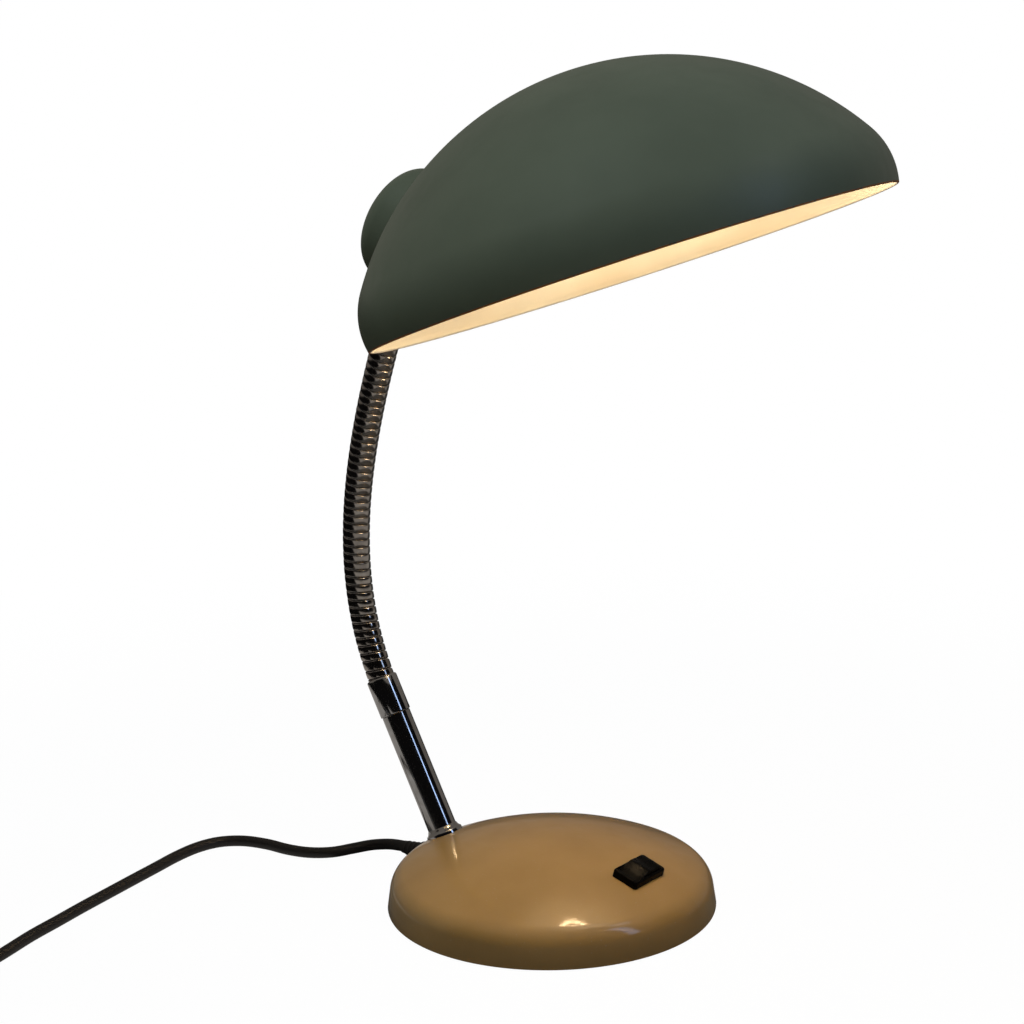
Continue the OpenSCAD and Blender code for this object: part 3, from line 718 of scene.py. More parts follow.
class Skin:
    """The points and faces of one piece, gathered in millimetres."""

    def __init__(self, frame: Matrix | None = None) -> None:
        """Starts an empty skin whose points are given in a frame of the drawing.

        Args:
            frame: The frame, or none for the lamp's own.
        """
        self.frame = frame or Matrix.Identity(4)
        self.points: list[Vector] = []
        self.faces: list[tuple[int, ...]] = []
        self.finish_of: list[int] = []

    def ring(self, points: Iterable[Sequence[float]]) -> list[int]:
        """Adds a ring of points.

        Args:
            points: The points, in the skin's frame.

        Returns:
            Their numbers.
        """
        first = len(self.points)
        self.points += [self.frame @ Vector(p) for p in points]
        return list(range(first, len(self.points)))

    def circle(self, r: float, z: float, steps: int) -> list[int]:
        """Adds a circle about the frame's z axis, or a single point where it has no radius.

        Args:
            r: Its radius.
            z: Its height.
            steps: How many points it has.

        Returns:
            The numbers of its points.
        """
        if r < 1e-6:
            return self.ring([(0.0, 0.0, z)])
        angles = [math.tau * k / steps for k in range(steps)]
        return self.ring([(r * math.cos(a), r * math.sin(a), z) for a in angles])

    def box_ring(self, half_x: float, half_y: float, corner: float, z: float, steps: int = 6) -> list[int]:
        """Adds a rectangle with rounded corners, square to the frame's z axis.

        Args:
            half_x: Half its size along x.
            half_y: Half its size along y.
            corner: The radius of its corners.
            z: Its height.
            steps: The parts of each corner.

        Returns:
            The numbers of its points.
        """
        corner = min(corner, half_x, half_y)
        points = []
        for quarter, (sx, sy) in enumerate(((1, 1), (-1, 1), (-1, -1), (1, -1))):
            mid = (sx * (half_x - corner), sy * (half_y - corner))
            points += arc(mid, corner, 90 * quarter, 90 * quarter + 90, steps)
        return self.ring([(x, y, z) for x, y in points])

    def band(self, low: list[int], high: list[int], finish: int = 0) -> None:
        """Joins two rings, or a ring and a single point, with faces.

        Args:
            low: The first ring.
            high: The other ring.
            finish: The faces' finish, by its number.
        """
        count = max(len(low), len(high))
        for i in range(count):
            j = (i + 1) % count
            corners = (low[i % len(low)], low[j % len(low)], high[j % len(high)], high[i % len(high)])
            face = tuple(dict.fromkeys(corners))
            if len(face) > 2:
                self.faces.append(face)
                self.finish_of.append(finish)

    def cap(self, ring: list[int], finish: int = 0) -> None:
        """Closes a ring with one face."""
        self.faces.append(tuple(ring))
        self.finish_of.append(finish)

    def loft(self, rings: list[list[int]], capped: bool = True) -> None:
        """Joins rings one after another.

        Args:
            rings: The rings.
            capped: True if the first and the last ring are closed.
        """
        for low, high in zip(rings, rings[1:]):
            self.band(low, high)
        if capped:
            self.cap(rings[0])
            self.cap(rings[-1])

    def turned(
        self, outline: Outline, steps: int = 96, finish_of: list[int] | None = None, closed: bool = False
    ) -> "Skin":
        """Turns an outline round the frame's z axis.

        Args:
            outline: Radius and height of each point.
            steps: How many parts go round.
            finish_of: The finish's number for each part of the outline.
            closed: True if the last point joins the first, as in a ring.

        Returns:
            This skin.
        """
        rings = [self.circle(r, z, steps) for r, z in outline]
        pairs = list(zip(rings, rings[1:])) + ([(rings[-1], rings[0])] if closed else [])
        for i, (low, high) in enumerate(pairs):
            self.band(low, high, finish_of[i] if finish_of else 0)
        return self

    def piece(self, name: str, finishes: Sequence[Finish], crease: float = 32.0) -> Object:
        """Makes the piece's object in metres.

        Args:
            name: The piece's name.
            finishes: Its finishes, in the order of their numbers.
            crease: The angle in degrees above which an edge stays sharp.

        Returns:
            The object, which doesn't ride on a body yet.
        """
        mesh = bpy.data.meshes.new(name)
        mesh.from_pydata([p * MM for p in self.points], [], self.faces)
        for finish in finishes:
            mesh.materials.append(finish.material())
        mesh.polygons.foreach_set("material_index", self.finish_of)
        shape = bmesh.new()
        shape.from_mesh(mesh)
        bmesh.ops.recalc_face_normals(shape, faces=shape.faces)
        shape.to_mesh(mesh)
        shape.free()
        mesh.shade_smooth()
        mesh.set_sharp_from_angle(angle=math.radians(crease))
        return placed(name, mesh)


def cut(piece: Object, cutter: Object) -> None:
    """Cuts one object's shape out of a piece, and removes the cutter.

    Args:
        piece: The piece.
        cutter: The object whose shape is cut out.
    """
    tool = piece.modifiers.new("cut", "BOOLEAN")
    tool.operation = "DIFFERENCE"
    tool.solver = "EXACT"
    tool.object = cutter
    bpy.context.view_layer.update()
    result = bpy.data.meshes.new_from_object(piece.evaluated_get(bpy.context.evaluated_depsgraph_get()))
    piece.modifiers.clear()
    piece.data = result
    bpy.data.objects.remove(cutter)


def fit_piece(piece: Object, body: Body | str, nodes: Sequence[str] = ()) -> None:
    """Puts a piece on its body in place of CAD nodes.

    Args:
        piece: The piece, in place.
        body: The body that it rides on.
        nodes: The CAD nodes that it stands for.
    """
    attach(piece, body.value if isinstance(body, Body) else body)
    if nodes:
        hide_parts(*nodes)
    log.info("%s on %s", piece.name, body)


@dataclass(frozen=True)
class Drawing:
    """The sizes and frames that set out the lamp, for all its sub-assemblies."""

    base_h: float = 39.6
    dome_r: float = 190.0
    switch_x: float = 58.0
    stem_x: float = 75.4
    stem_lean: float = 27.5
    stem_l: float = 73.0
    ferrule_l: float = 23.0
    upper_ferrule_l: float = 19.5
    link_l: float = 18.0
    neck_bends: tuple[float, ...] = (5.7, 6.7, 6.4, 5.8, 5.3, 4.7, 3.9, 3.1, 2.6, 2.3, 1.5, 1.1)
    head_side: float = 2.0
    side_from: int = 6
    cup_r: float = 32.5
    cup_back: float = 14.7
    shade_gap: float = 29.2
    shade_dome_r: float = 156.797
    shade_h: float = 102.6
    shade_tilt: float = 48.7

    def dome_at(self, r: float) -> float:
        """Gives the height of the base's dome at a distance from the middle."""
        return self.base_h - self.dome_r + math.sqrt(self.dome_r ** 2 - r * r)

    def foot(self) -> Matrix:
        """Gives the frame of the stem's foot, with +Z along the stem."""
        return shift(-self.stem_x, 0, self.dome_at(self.stem_x)) @ turn_about("Y", -self.stem_lean)

    def switch(self) -> Matrix:
        """Gives the frame of the switch, with +Z square to the dome."""
        lean = math.degrees(math.asin(self.switch_x / self.dome_r))
        return shift(self.switch_x, 0, self.dome_at(self.switch_x)) @ turn_about("Y", lean)

    def link_turn(self, k: int) -> Matrix:
        """Gives the turn of a link.

        Args:
            k: The link's number, where 0 is the lower ferrule and the last also turns the head.

        Returns:
            The turn.
        """
        heading = sum(self.neck_bends[:k]) - self.stem_lean
        last = len(self.neck_bends)
        lean = self.head_side
        if k < last:
            lean = max(0, k - self.side_from + 1) * self.head_side / (last - self.side_from + 2)
        return turn_about("X", lean) @ turn_about("Y", heading)

    def link_way(self, k: int) -> Vector:
        """Gives the direction of link k."""
        return self.link_turn(k) @ Vector((0, 0, 1))

    def pivot(self, k: int) -> Vector:
        """Gives the pivot between a link and the link above it.

        Args:
            k: The link's number.

        Returns:
            The point.
        """
        point = self.foot() @ Vector((0, 0, self.stem_l + self.ferrule_l))
        for link in range(1, k + 1):
            point = point + self.link_l * self.link_way(link)
        return point

    def link_mid(self, k: int) -> Vector:
        """Gives the middle of link k."""
        return self.pivot(k) - self.link_l / 2 * self.link_way(k)

    def head(self) -> Matrix:
        """Gives the frame on top of the upper ferrule.

        Returns:
            The frame, with +Z along the gooseneck's end.
        """
        last = len(self.neck_bends)
        top = Matrix.Translation(self.pivot(last)) @ self.link_turn(last)
        return top @ shift(0, 0, self.upper_ferrule_l - 1)

    def cup(self) -> Matrix:
        """Gives the frame of the cup's closed end, with +Z towards the shade."""
        return self.head() @ shift(-self.cup_back, 0, self.cup_r) @ turn_about("Y", 90)

    def shade(self) -> Matrix:
        """Gives the frame of the rim's middle, with +Z towards the shade's top.

        Returns:
            The frame.
        """
        centre = self.shade_gap - self.cup_back + self.shade_dome_r
        tilted = self.head() @ shift(centre, 0, self.cup_r) @ turn_about("Y", self.shade_tilt - 90)
        return tilted @ shift(0, 0, self.shade_dome_r - self.shade_h)


@dataclass
class Base:
    """The weighted base: an enamelled shell, spun with a leaning skirt and a shallow dome."""

    drawing: Drawing
    d: float = 180.0
    skirt_lean: float = 8.5
    shoulder_r: float = 13.4
    wall: float = 1.2
    lip_z: float = 0.6
    lip_w: float = 2.4
    pad_t: float = 1.8
    around: int = 240

    def skirt_at(self, z: float, inset: float = 0.0) -> float:
        """Gives the skirt's radius at a height, inset by a wall."""
        lean = math.radians(self.skirt_lean)
        return self.d / 2 - z * math.tan(lean) - inset / math.cos(lean)

    def line(self, z: float, inset: float) -> Outline:
        """Gives the shell's outline from a height on the skirt up to the middle.

        Args:
            z: The height that it starts from.
            inset: The wall, or 0 for the outer face.

        Returns:
            The outline's points.
        """
        lean = math.radians(self.skirt_lean)
        dome_r, dome_z = self.drawing.dome_r, self.drawing.base_h - self.drawing.dome_r
        out = self.d / 2 * math.cos(lean) - self.shoulder_r
        up = dome_z * math.cos(lean) + math.sqrt(
            (dome_r - self.shoulder_r) ** 2 - (out - dome_z * math.sin(lean)) ** 2
        )
        mid = (
            out * math.cos(lean) - up * math.sin(lean),
            out * math.sin(lean) + up * math.cos(lean),
        )
        end = math.degrees(math.atan2(mid[1] - dome_z, mid[0]))
        shoulder = arc(mid, self.shoulder_r - inset, self.skirt_lean, end, 20)
        dome = arc((0, dome_z), dome_r - inset, end, 90, 40)[1:-1]
        return [(self.skirt_at(z, inset), z), *shoulder, *dome, (0.0, self.drawing.base_h - inset)]

    def shell(self) -> Object:
        """Makes the shell with its folded lip.

        Returns:
            The shell.
        """
        foot = self.skirt_at(self.lip_z)
        lip_r = self.skirt_at(0, self.wall) - self.lip_w
        outside = self.line(2 * self.lip_z, 0)[::-1]
        hem = [(foot - 0.3 * self.lip_z, 1.3 * self.lip_z), (foot - self.lip_z, self.lip_z)]
        inside = [(lip_r, self.lip_z), (lip_r, self.pad_t), *self.line(self.pad_t, self.wall)]
        return Skin().turned([*outside, *hem, *inside], self.around).piece("base_cover", [BASE_ENAMEL])

    def build(self) -> None:
        """Makes the shell and puts it on the base."""
        fit_piece(self.shell(), Body.BASE, ["base_shell"])


@dataclass
class RockerSwitch:
    """The rocker switch that snaps into the dome: a moulded bezel and a rocker."""

    drawing: Drawing
    bezel: tuple[float, float] = (16.0, 27.0)
    bezel_h: float = 3.7
    corner: float = 1.8
    edge: float = 0.9
    opening: tuple[float, float] = (13.3, 21.2)
    depth: float = 3.4
    rocker_w: float = 13.0
    rocker_l: float = 20.8
    rocker_edge: float = 0.5
    pivot_z: float = 1.2
    peak: float = 4.8
    slope: float = 12.0
    tilt: float = 9.0
    dip: float = 0.35

    def frame_piece(self) -> Object:
        """Makes the bezel, rounded along its top edges, with the rocker's well in it.

        Returns:
            The bezel.
        """
        skin = Skin(self.drawing.switch())
        x, y = self.bezel[0] / 2, self.bezel[1] / 2
        ix, iy = self.opening[0] / 2, self.opening[1] / 2
        rings = [skin.box_ring(x, y, self.corner, -1.5)]
        for inset, z in arc((self.edge, self.bezel_h - self.edge), self.edge, 180, 90, 5):
            rings.append(skin.box_ring(x - inset, y - inset, self.corner - 0.5 * inset, z))
        rings.append(skin.box_ring(ix + 0.3, iy + 0.3, 1.0, self.bezel_h))
        rings.append(skin.box_ring(ix + 0.05, iy + 0.05, 0.8, self.bezel_h - 0.3))
        rings.append(skin.box_ring(ix, iy, 0.8, -self.depth))
        skin.loft(rings)
        return skin.piece("switch_bezel", [SWITCH_ABS])

    def roof(self, y: float) -> float:
        """Gives the height of the rocker's roof above its pivot.

        Args:
            y: The distance from the rocker's middle.

        Returns:
            The height.
        """
        half = self.rocker_l / 2
        straight = self.peak - abs(y) * math.tan(math.radians(self.slope))
        return straight - self.dip * math.sin(math.pi * min(1.0, abs(y) / half)) ** 2

    def rocker(self) -> Object:
        """Makes the rocker, with a finger dip in each half and its edges rounded.

        Returns:
            The rocker.
        """
        half, foot, steps = self.rocker_l / 2, -1.4, 24
        low, end = (math.asin(z / half) for z in (foot, self.roof(half)))
        side = [
            (half * math.cos(low + (end - low) * i / 6), half * math.sin(low + (end - low) * i / 6))
            for i in range(7)
        ]
        reach = side[-1][0]
        across = [reach - 2 * reach * i / steps for i in range(1, steps)]
        profile = [*side, *((y, self.roof(y)) for y in across), *((-y, z) for y, z in side[::-1])]
        edge = [
            (self.rocker_w / 2 - self.rocker_edge * (1 - math.sin(a)), self.rocker_edge * (1 - math.cos(a)))
            for a in map(math.radians, (90, 60, 30, 0))
        ]
        skin = Skin(self.drawing.switch() @ shift(0, 0, self.pivot_z) @ turn_about("X", self.tilt))
        places = [*((-x, inset) for x, inset in edge), *edge[::-1]]
        skin.loft([self.section(skin, profile, x, inset) for x, inset in places])
        return skin.piece("rocker_cap", [SWITCH_ABS])

    def section(self, skin: Skin, profile: Outline, x: float, inset: float) -> list[int]:
        """Adds the rocker's profile at a width, drawn in by an inset.

        Args:
            skin: The rocker's skin.
            profile: The profile's points, across the pivot.
            x: The place along the pivot.
            inset: How far the profile is drawn in.

        Returns:
            The numbers of the points.
        """
        half, top = self.rocker_l / 2, self.peak
        return skin.ring(
            [(x, y * (half - inset) / half, z - inset * max(0.0, z) / top) for y, z in profile]
        )

    def build(self) -> None:
        """Makes both pieces."""
        fit_piece(self.frame_piece(), Body.BASE, ["switch_housing"])
        fit_piece(self.rocker(), Body.ROCKER, ["switch_rocker"])


@dataclass
class Stem:
    """The chrome stem: a collar on the dome, a straight tube and the ferrule on top of it."""

    drawing: Drawing
    tube_r: float = 8.2
    bore_r: float = 6.7
    collar_r: float = 10.4
    collar_h: float = 4.0
    ledge: float = 2.0
    ferrule_r: float = 8.8
    joint_room: float = 1.0

    def turned(self, name: str, outline: Outline) -> Object:
        """Turns one chrome piece on the stem's axis from a closed outline."""
        return Skin(self.drawing.foot()).turned(outline, 96, closed=True).piece(name, [CHROME])

    def build(self) -> None:
        """Makes the collar, the tube and the lower ferrule."""
        r, top = self.collar_r, self.collar_h
        flare = [(r, -1.6), (r, 0.6), (r - 0.15, 1.1), (r - 0.6, 1.5), (r - 1.2, 2.1), (r - 1.6, 2.9)]
        lip = [(self.tube_r + 0.35, top - 0.3), (self.tube_r + 0.05, top)]
        inner = [(self.tube_r + 0.02, self.ledge), (self.bore_r, self.ledge), (self.bore_r, -1.6)]
        collar = self.turned("foot_collar", [*flare, *lip, *inner])
        fit_piece(collar, Body.BASE, ["stem_collar"])

        seam = self.drawing.stem_l
        tube = self.turned(
            "stem_chrome_tube",
            [
                (self.tube_r, self.ledge),
                (self.tube_r, seam - 0.5),
                (self.tube_r - 0.4, seam - 0.02),
                (self.bore_r, seam - 0.02),
                (self.bore_r, self.ledge),
            ],
        )
        fit_piece(tube, Body.BASE, ["stem_tube"])

        end = seam + self.drawing.ferrule_l - self.joint_room
        ferrule = self.turned(
            "lower_ferrule_chrome",
            [
                (self.ferrule_r - 0.5, seam),
                (self.ferrule_r - 0.12, seam + 0.15),
                (self.ferrule_r, seam + 0.6),
                (self.ferrule_r, end - 1.2),
                (self.ferrule_r - 0.15, end - 0.7),
                (self.ferrule_r - 0.6, end - 0.2),
                (self.ferrule_r - 1.2, end),
                (3.2, end),
                (3.2, seam),
            ],
        )
        fit_piece(ferrule, Body.BASE, ["lower_ferrule"])


@dataclass
class Gooseneck:
    """The flexible tube, wound from plated strip.

    It is made in lengths from the middle of one link to the middle of the next, each curved through the pivot
    between them, so that at rest all of them meet end to end.
    """

    drawing: Drawing
    r: float = 7.65
    bore: float = 5.0
    pitch: float = 4.5
    crown: float = 0.16
    groove: float = 0.8
    groove_share: float = 0.2
    tuck: float = 2.5
    stub: float = 1.0
    rings_per_pitch: int = 24
    around: int = 64
    # The lengths whose two ends are listed from the upper body down.
    from_above: tuple[int, ...] = (2, 8)

    def grooved(self, phase: float) -> tuple[float, float]:
        """Gives the depth of the surface at a phase of the winding.

        Args:
            phase: Turns of the winding, of which the whole ones don't count.

        Returns:
            How far it lies in, and how much of it is groove.
        """
        x = abs(2 * (phase % 1.0) - 1)
        edge = max(0.0, (x - 1 + self.groove_share) / self.groove_share)
        share = edge * edge * (3 - 2 * edge)
        return self.crown * x * x + self.groove * share, share

    def length_of(self, k: int, line: Sequence[Vector], turns: float) -> Object:
        """Makes one length of the tube along a bend.

        Args:
            k: Its number.
            line: The bend's first point, the point that pulls it, and its last point.
            turns: How many turns of strip it holds, counted back from its last point.

        Returns:
            The piece, closed at both ends.
        """
        skin = Skin()
        shares: list[float] = []
        steps = round(turns * self.rings_per_pitch)
        angles = [math.tau * n / self.around for n in range(self.around)]
        outer, inner = [], []
        for i in range(steps + 1):
            t = i / steps
            a, b, c = line
            point = (1 - t) ** 2 * a + 2 * t * (1 - t) * b + t * t * c
            way = ((1 - t) * (b - a) + t * (c - b)).normalized()
            side = Vector((0, 1, 0)).cross(way).normalized()
            up = way.cross(side)
            outs = [math.cos(angle) * side + math.sin(angle) * up for angle in angles]
            marks = [self.grooved(turns * (t - 1) + n / self.around) for n in range(self.around)]
            outer.append(skin.ring([point + (self.r - inset) * out for (inset, _), out in zip(marks, outs)]))
            shares += [share for _, share in marks]
            if i % self.rings_per_pitch == 0 or i == steps:
                inner.append(skin.ring([point + self.bore * out for out in outs]))
                # The bore counts as groove, so it is painted near black too: grime and painted shade.
                shares += [1.0] * self.around
        for rings in (outer, inner, (outer[0], inner[0]), (outer[-1], inner[-1])):
            for low, high in zip(rings, rings[1:]):
                skin.band(low, high)
        made = skin.piece(f"neck_strip_{k}", [NECK_PLATE], crease=70.0)
        made.data.attributes.new("groove", "FLOAT", "POINT").data.foreach_set("value", shares)
        return made

    def build(self) -> None:
        """Makes the lengths from the lower ferrule to the upper one."""
        last = len(self.drawing.neck_bends)
        way_in = self.drawing.link_way(0)
        for k in range(last + 1):
            bend = self.drawing.pivot(k)
            start = bend - self.tuck * way_in if k == 0 else self.drawing.link_mid(k)
            way_out = self.drawing.link_way(last)
            end = bend + self.stub * way_out if k == last else self.drawing.link_mid(k + 1)
            turns = (start - bend).length / self.pitch + (end - bend).length / self.pitch
            piece = self.length_of(k, (start, bend, end), turns)
            if k > 0:
                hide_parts(f"neck_link_{k}")
            below = Body.BASE.value if k == 0 else f"link_{k}"
            above = Body.HEAD.value if k >= last - 1 else f"link_{k + 1}"
            if k == last:
                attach(piece, above)
            else:
                begin = bend - self.stub * way_in if k == 0 else start
                ends = [(below, begin * MM), (above, end * MM)]
                if k in self.from_above:
                    ends.reverse()
                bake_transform(piece)
            log.info("%s from %s to %s", piece.name, below, above)


@dataclass
class Head:
    """The head: the rear cup, the spun shade, the lampholder's ring and the bulb."""

    drawing: Drawing
    cup_edge: float = 11.0
    cup_wall: float = 1.0
    shade_r: float = 138.5
    wide_h: float = 8.8
    shade_wall: float = 0.9
    hem_r: float = 0.8
    hole_r: float = 14.3
    bulb_r: float = 20.0
    bulb_z: float = 54.5
    bulb_neck_z: float = 27.0
    bulb_neck_r: float = 6.9
    ear_ring_r: float = 24.0
    ear_turns: tuple[float, ...] = (60.0, 180.0, 300.0)
    screw_r: float = 1.5
    screw_head_r: float = 3.0
    slot_w: float = 0.7
    slot_z: float = 1.9
    around: int = 256

    def edge_curve(self) -> tuple[tuple[float, float], float, float]:
        """Gives the curve of the shade's turned-down edge.

        Returns:
            Its centre, its radius, and the angle at which the dome takes over.
        """
        dome_r = self.drawing.shade_dome_r
        low = self.wide_h - self.drawing.shade_h + dome_r
        r = (dome_r ** 2 - low ** 2 - self.shade_r ** 2) / (2 * (dome_r - self.shade_r))
        mid = (self.shade_r - r, self.wide_h)
        return mid, r, math.degrees(math.atan2(low, mid[0]))

    def shade_line(self, inset: float, z: float) -> Outline:
        """Gives the shade's outline from its top down to a height.

        Args:
            inset: The wall, or 0 for the outer face.
            z: The height.

        Returns:
            The outline's points.
        """
        mid, r, end = self.edge_curve()
        dome_r, dome_z = self.drawing.shade_dome_r, self.drawing.shade_h - self.drawing.shade_dome_r
        stop = math.degrees(math.asin((z - mid[1]) / (r - inset)))
        dome = arc((0, dome_z), dome_r - inset, 90, end, 48)
        return [(0.0, dome[0][1]), *dome[1:], *arc(mid, r - inset, end, stop, 22)[1:]]

    def shade(self) -> Object:
        """Makes the shade: dark outside, cream inside, with an orange-brown line along its rolled hem.

        Returns:
            The shade.
        """
        outside = self.shade_line(0, self.hem_r)
        inside = self.shade_line(self.shade_wall, 3 * self.hem_r)[::-1]
        rim = outside[-1][0] - self.hem_r
        hem = arc((rim, self.hem_r), self.hem_r, 0, -200, 12)[1:]
        finish_of = [0] * (len(outside) - 1) + [1] * 7 + [2] * (len(hem) - 7 + len(inside))
        skin = Skin(self.drawing.shade())
        skin.turned([*outside, *hem, *inside], self.around, finish_of)
        made = skin.piece("shade_dome", [SHADE_ENAMEL, HEM_ENAMEL, INSIDE_ENAMEL])
        hole = Skin(self.drawing.cup())
        hole.turned([(0, 10), (self.hole_r, 10), (self.hole_r, 60), (0, 60)], 64)
        cut(made, hole.piece("holder_hole", [INSIDE_ENAMEL]))
        return made

    def meets_shade(self, r: float, angle: float, inset: float = 0.0) -> float:
        """Finds where a line along the cup's axis meets the shade.

        Args:
            r: The line's distance from the axis.
            angle: Its angle about the axis.
            inset: How far inside the shade's outer face it stops.

        Returns:
            The distance from the cup's closed end.
        """
        to_shade = self.drawing.shade().inverted() @ self.drawing.cup()
        mid, edge_r, end = self.edge_curve()
        dome_r, dome_z = self.drawing.shade_dome_r, self.drawing.shade_h - self.drawing.shade_dome_r
        near, far = 10.0, 60.0
        for _ in range(30):
            s = (near + far) / 2
            p = to_shade @ Vector((r * math.cos(angle), r * math.sin(angle), s))
            rho = math.hypot(p.x, p.y)
            if math.degrees(math.atan2(p.z - dome_z, rho)) > end:
                out = math.hypot(rho, p.z - dome_z) - dome_r
            else:
                out = math.hypot(rho - mid[0], p.z - mid[1]) - edge_r
            if out > -inset:
                near = s
            else:
                far = s
        return near

    def cup(self) -> Object:
        """Makes the rear cup, with its open end shaped to the dome.

        Returns:
            The cup.
        """
        skin = Skin(self.drawing.cup())
        steps = 144
        r = self.drawing.cup_r

        def wall(inset: float) -> list[list[int]]:
            """Adds the rings of one face of the wall, inset from the outer face."""
            flat = r - self.cup_edge
            rings = [skin.circle(0, inset, steps), skin.circle(0.6 * flat, inset, steps)]
            for x, z in arc((flat, self.cup_edge), self.cup_edge - inset, -90, 0, 18):
                rings.append(skin.circle(x, z, steps))
            edge = r - inset
            angles = [math.tau * k / steps for k in range(steps)]
            ends = [self.meets_shade(edge, a, 0.3) for a in angles]
            for part in (0.5, 0.97, 1.0):
                rise = [self.cup_edge + (e - self.cup_edge) * part for e in ends]
                in_r = edge - (0.25 if part == 1.0 and not inset else 0.0)
                rings.append(
                    skin.ring([(in_r * math.cos(a), in_r * math.sin(a), z) for a, z in zip(angles, rise)])
                )
            return rings

        outer, inner = wall(0.0), wall(self.cup_wall)
        for low, high in [*zip(outer, outer[1:]), *zip(inner, inner[1:]), (outer[-1], inner[-1])]:
            skin.band(low, high)
        return skin.piece("rear_cup_cover", [SHADE_ENAMEL])

    def bulb(self) -> Object:
        """Makes the bulb's glass: a globe on a flared neck.

        Returns:
            The glass.
        """
        start = arc((0, self.bulb_z), self.bulb_r, -58, 90, 40)
        flare_from = self.bulb_neck_z + 3
        end_r, end_z = start[0]
        flare = []
        for i in range(9):
            t = i / 9
            z = flare_from + (end_z - flare_from) * t
            flare.append((self.bulb_neck_r + (end_r - self.bulb_neck_r) * t ** 2.6, z))
        neck = [(0.0, self.bulb_neck_z), (self.bulb_neck_r, self.bulb_neck_z)]
        outline = [*neck, *flare, *start[:-1], (0.0, self.bulb_z + self.bulb_r)]
        return Skin(self.drawing.cup()).turned(outline, 96).piece("bulb_globe", [BULB_OPAL])

    def screws(self) -> Object:
        """Makes the three slotted screws that hold the shade to the cup's ears.

        Returns:
            The screws, as one piece.
        """
        skin, slots = Skin(), Skin()
        dome_r = self.drawing.shade_dome_r
        face = self.drawing.shade_gap + dome_r - math.sqrt(dome_r ** 2 - self.ear_ring_r ** 2)
        r, head_r, steps = self.screw_r, self.screw_head_r, 32
        for turn in self.ear_turns:
            frame = self.drawing.cup() @ turn_about("Z", turn) @ shift(self.ear_ring_r, 0, face)
            skin.frame = slots.frame = frame
            rings = [skin.circle(r, -6, steps), skin.circle(r, 0.6, steps), skin.circle(head_r, 0.6, steps)]
            rings += [skin.circle(x, z, steps) for x, z in arc((head_r - 1.0, 1.4), 1.0, 0, 80, 5)]
            rings.append(skin.circle(1.2, 2.55, steps))
            skin.loft(rings)
            slots.loft([slots.box_ring(4.0, self.slot_w / 2, 0.01, z, 1) for z in (self.slot_z, 4)])
        made = skin.piece("shade_screws", [ZINC_STEEL])
        cut(made, slots.piece("screw_slots", [ZINC_STEEL]))
        return made

    def build(self) -> None:
        """Makes the head's pieces."""
        fit_piece(self.shade(), Body.HEAD, ["shade"])
        fit_piece(self.cup(), Body.HEAD, ["rear_cup"])
        fit_piece(self.bulb(), Body.HEAD, ["bulb_glass"])
        fit_piece(self.screws(), Body.HEAD, ["cup_screws"])


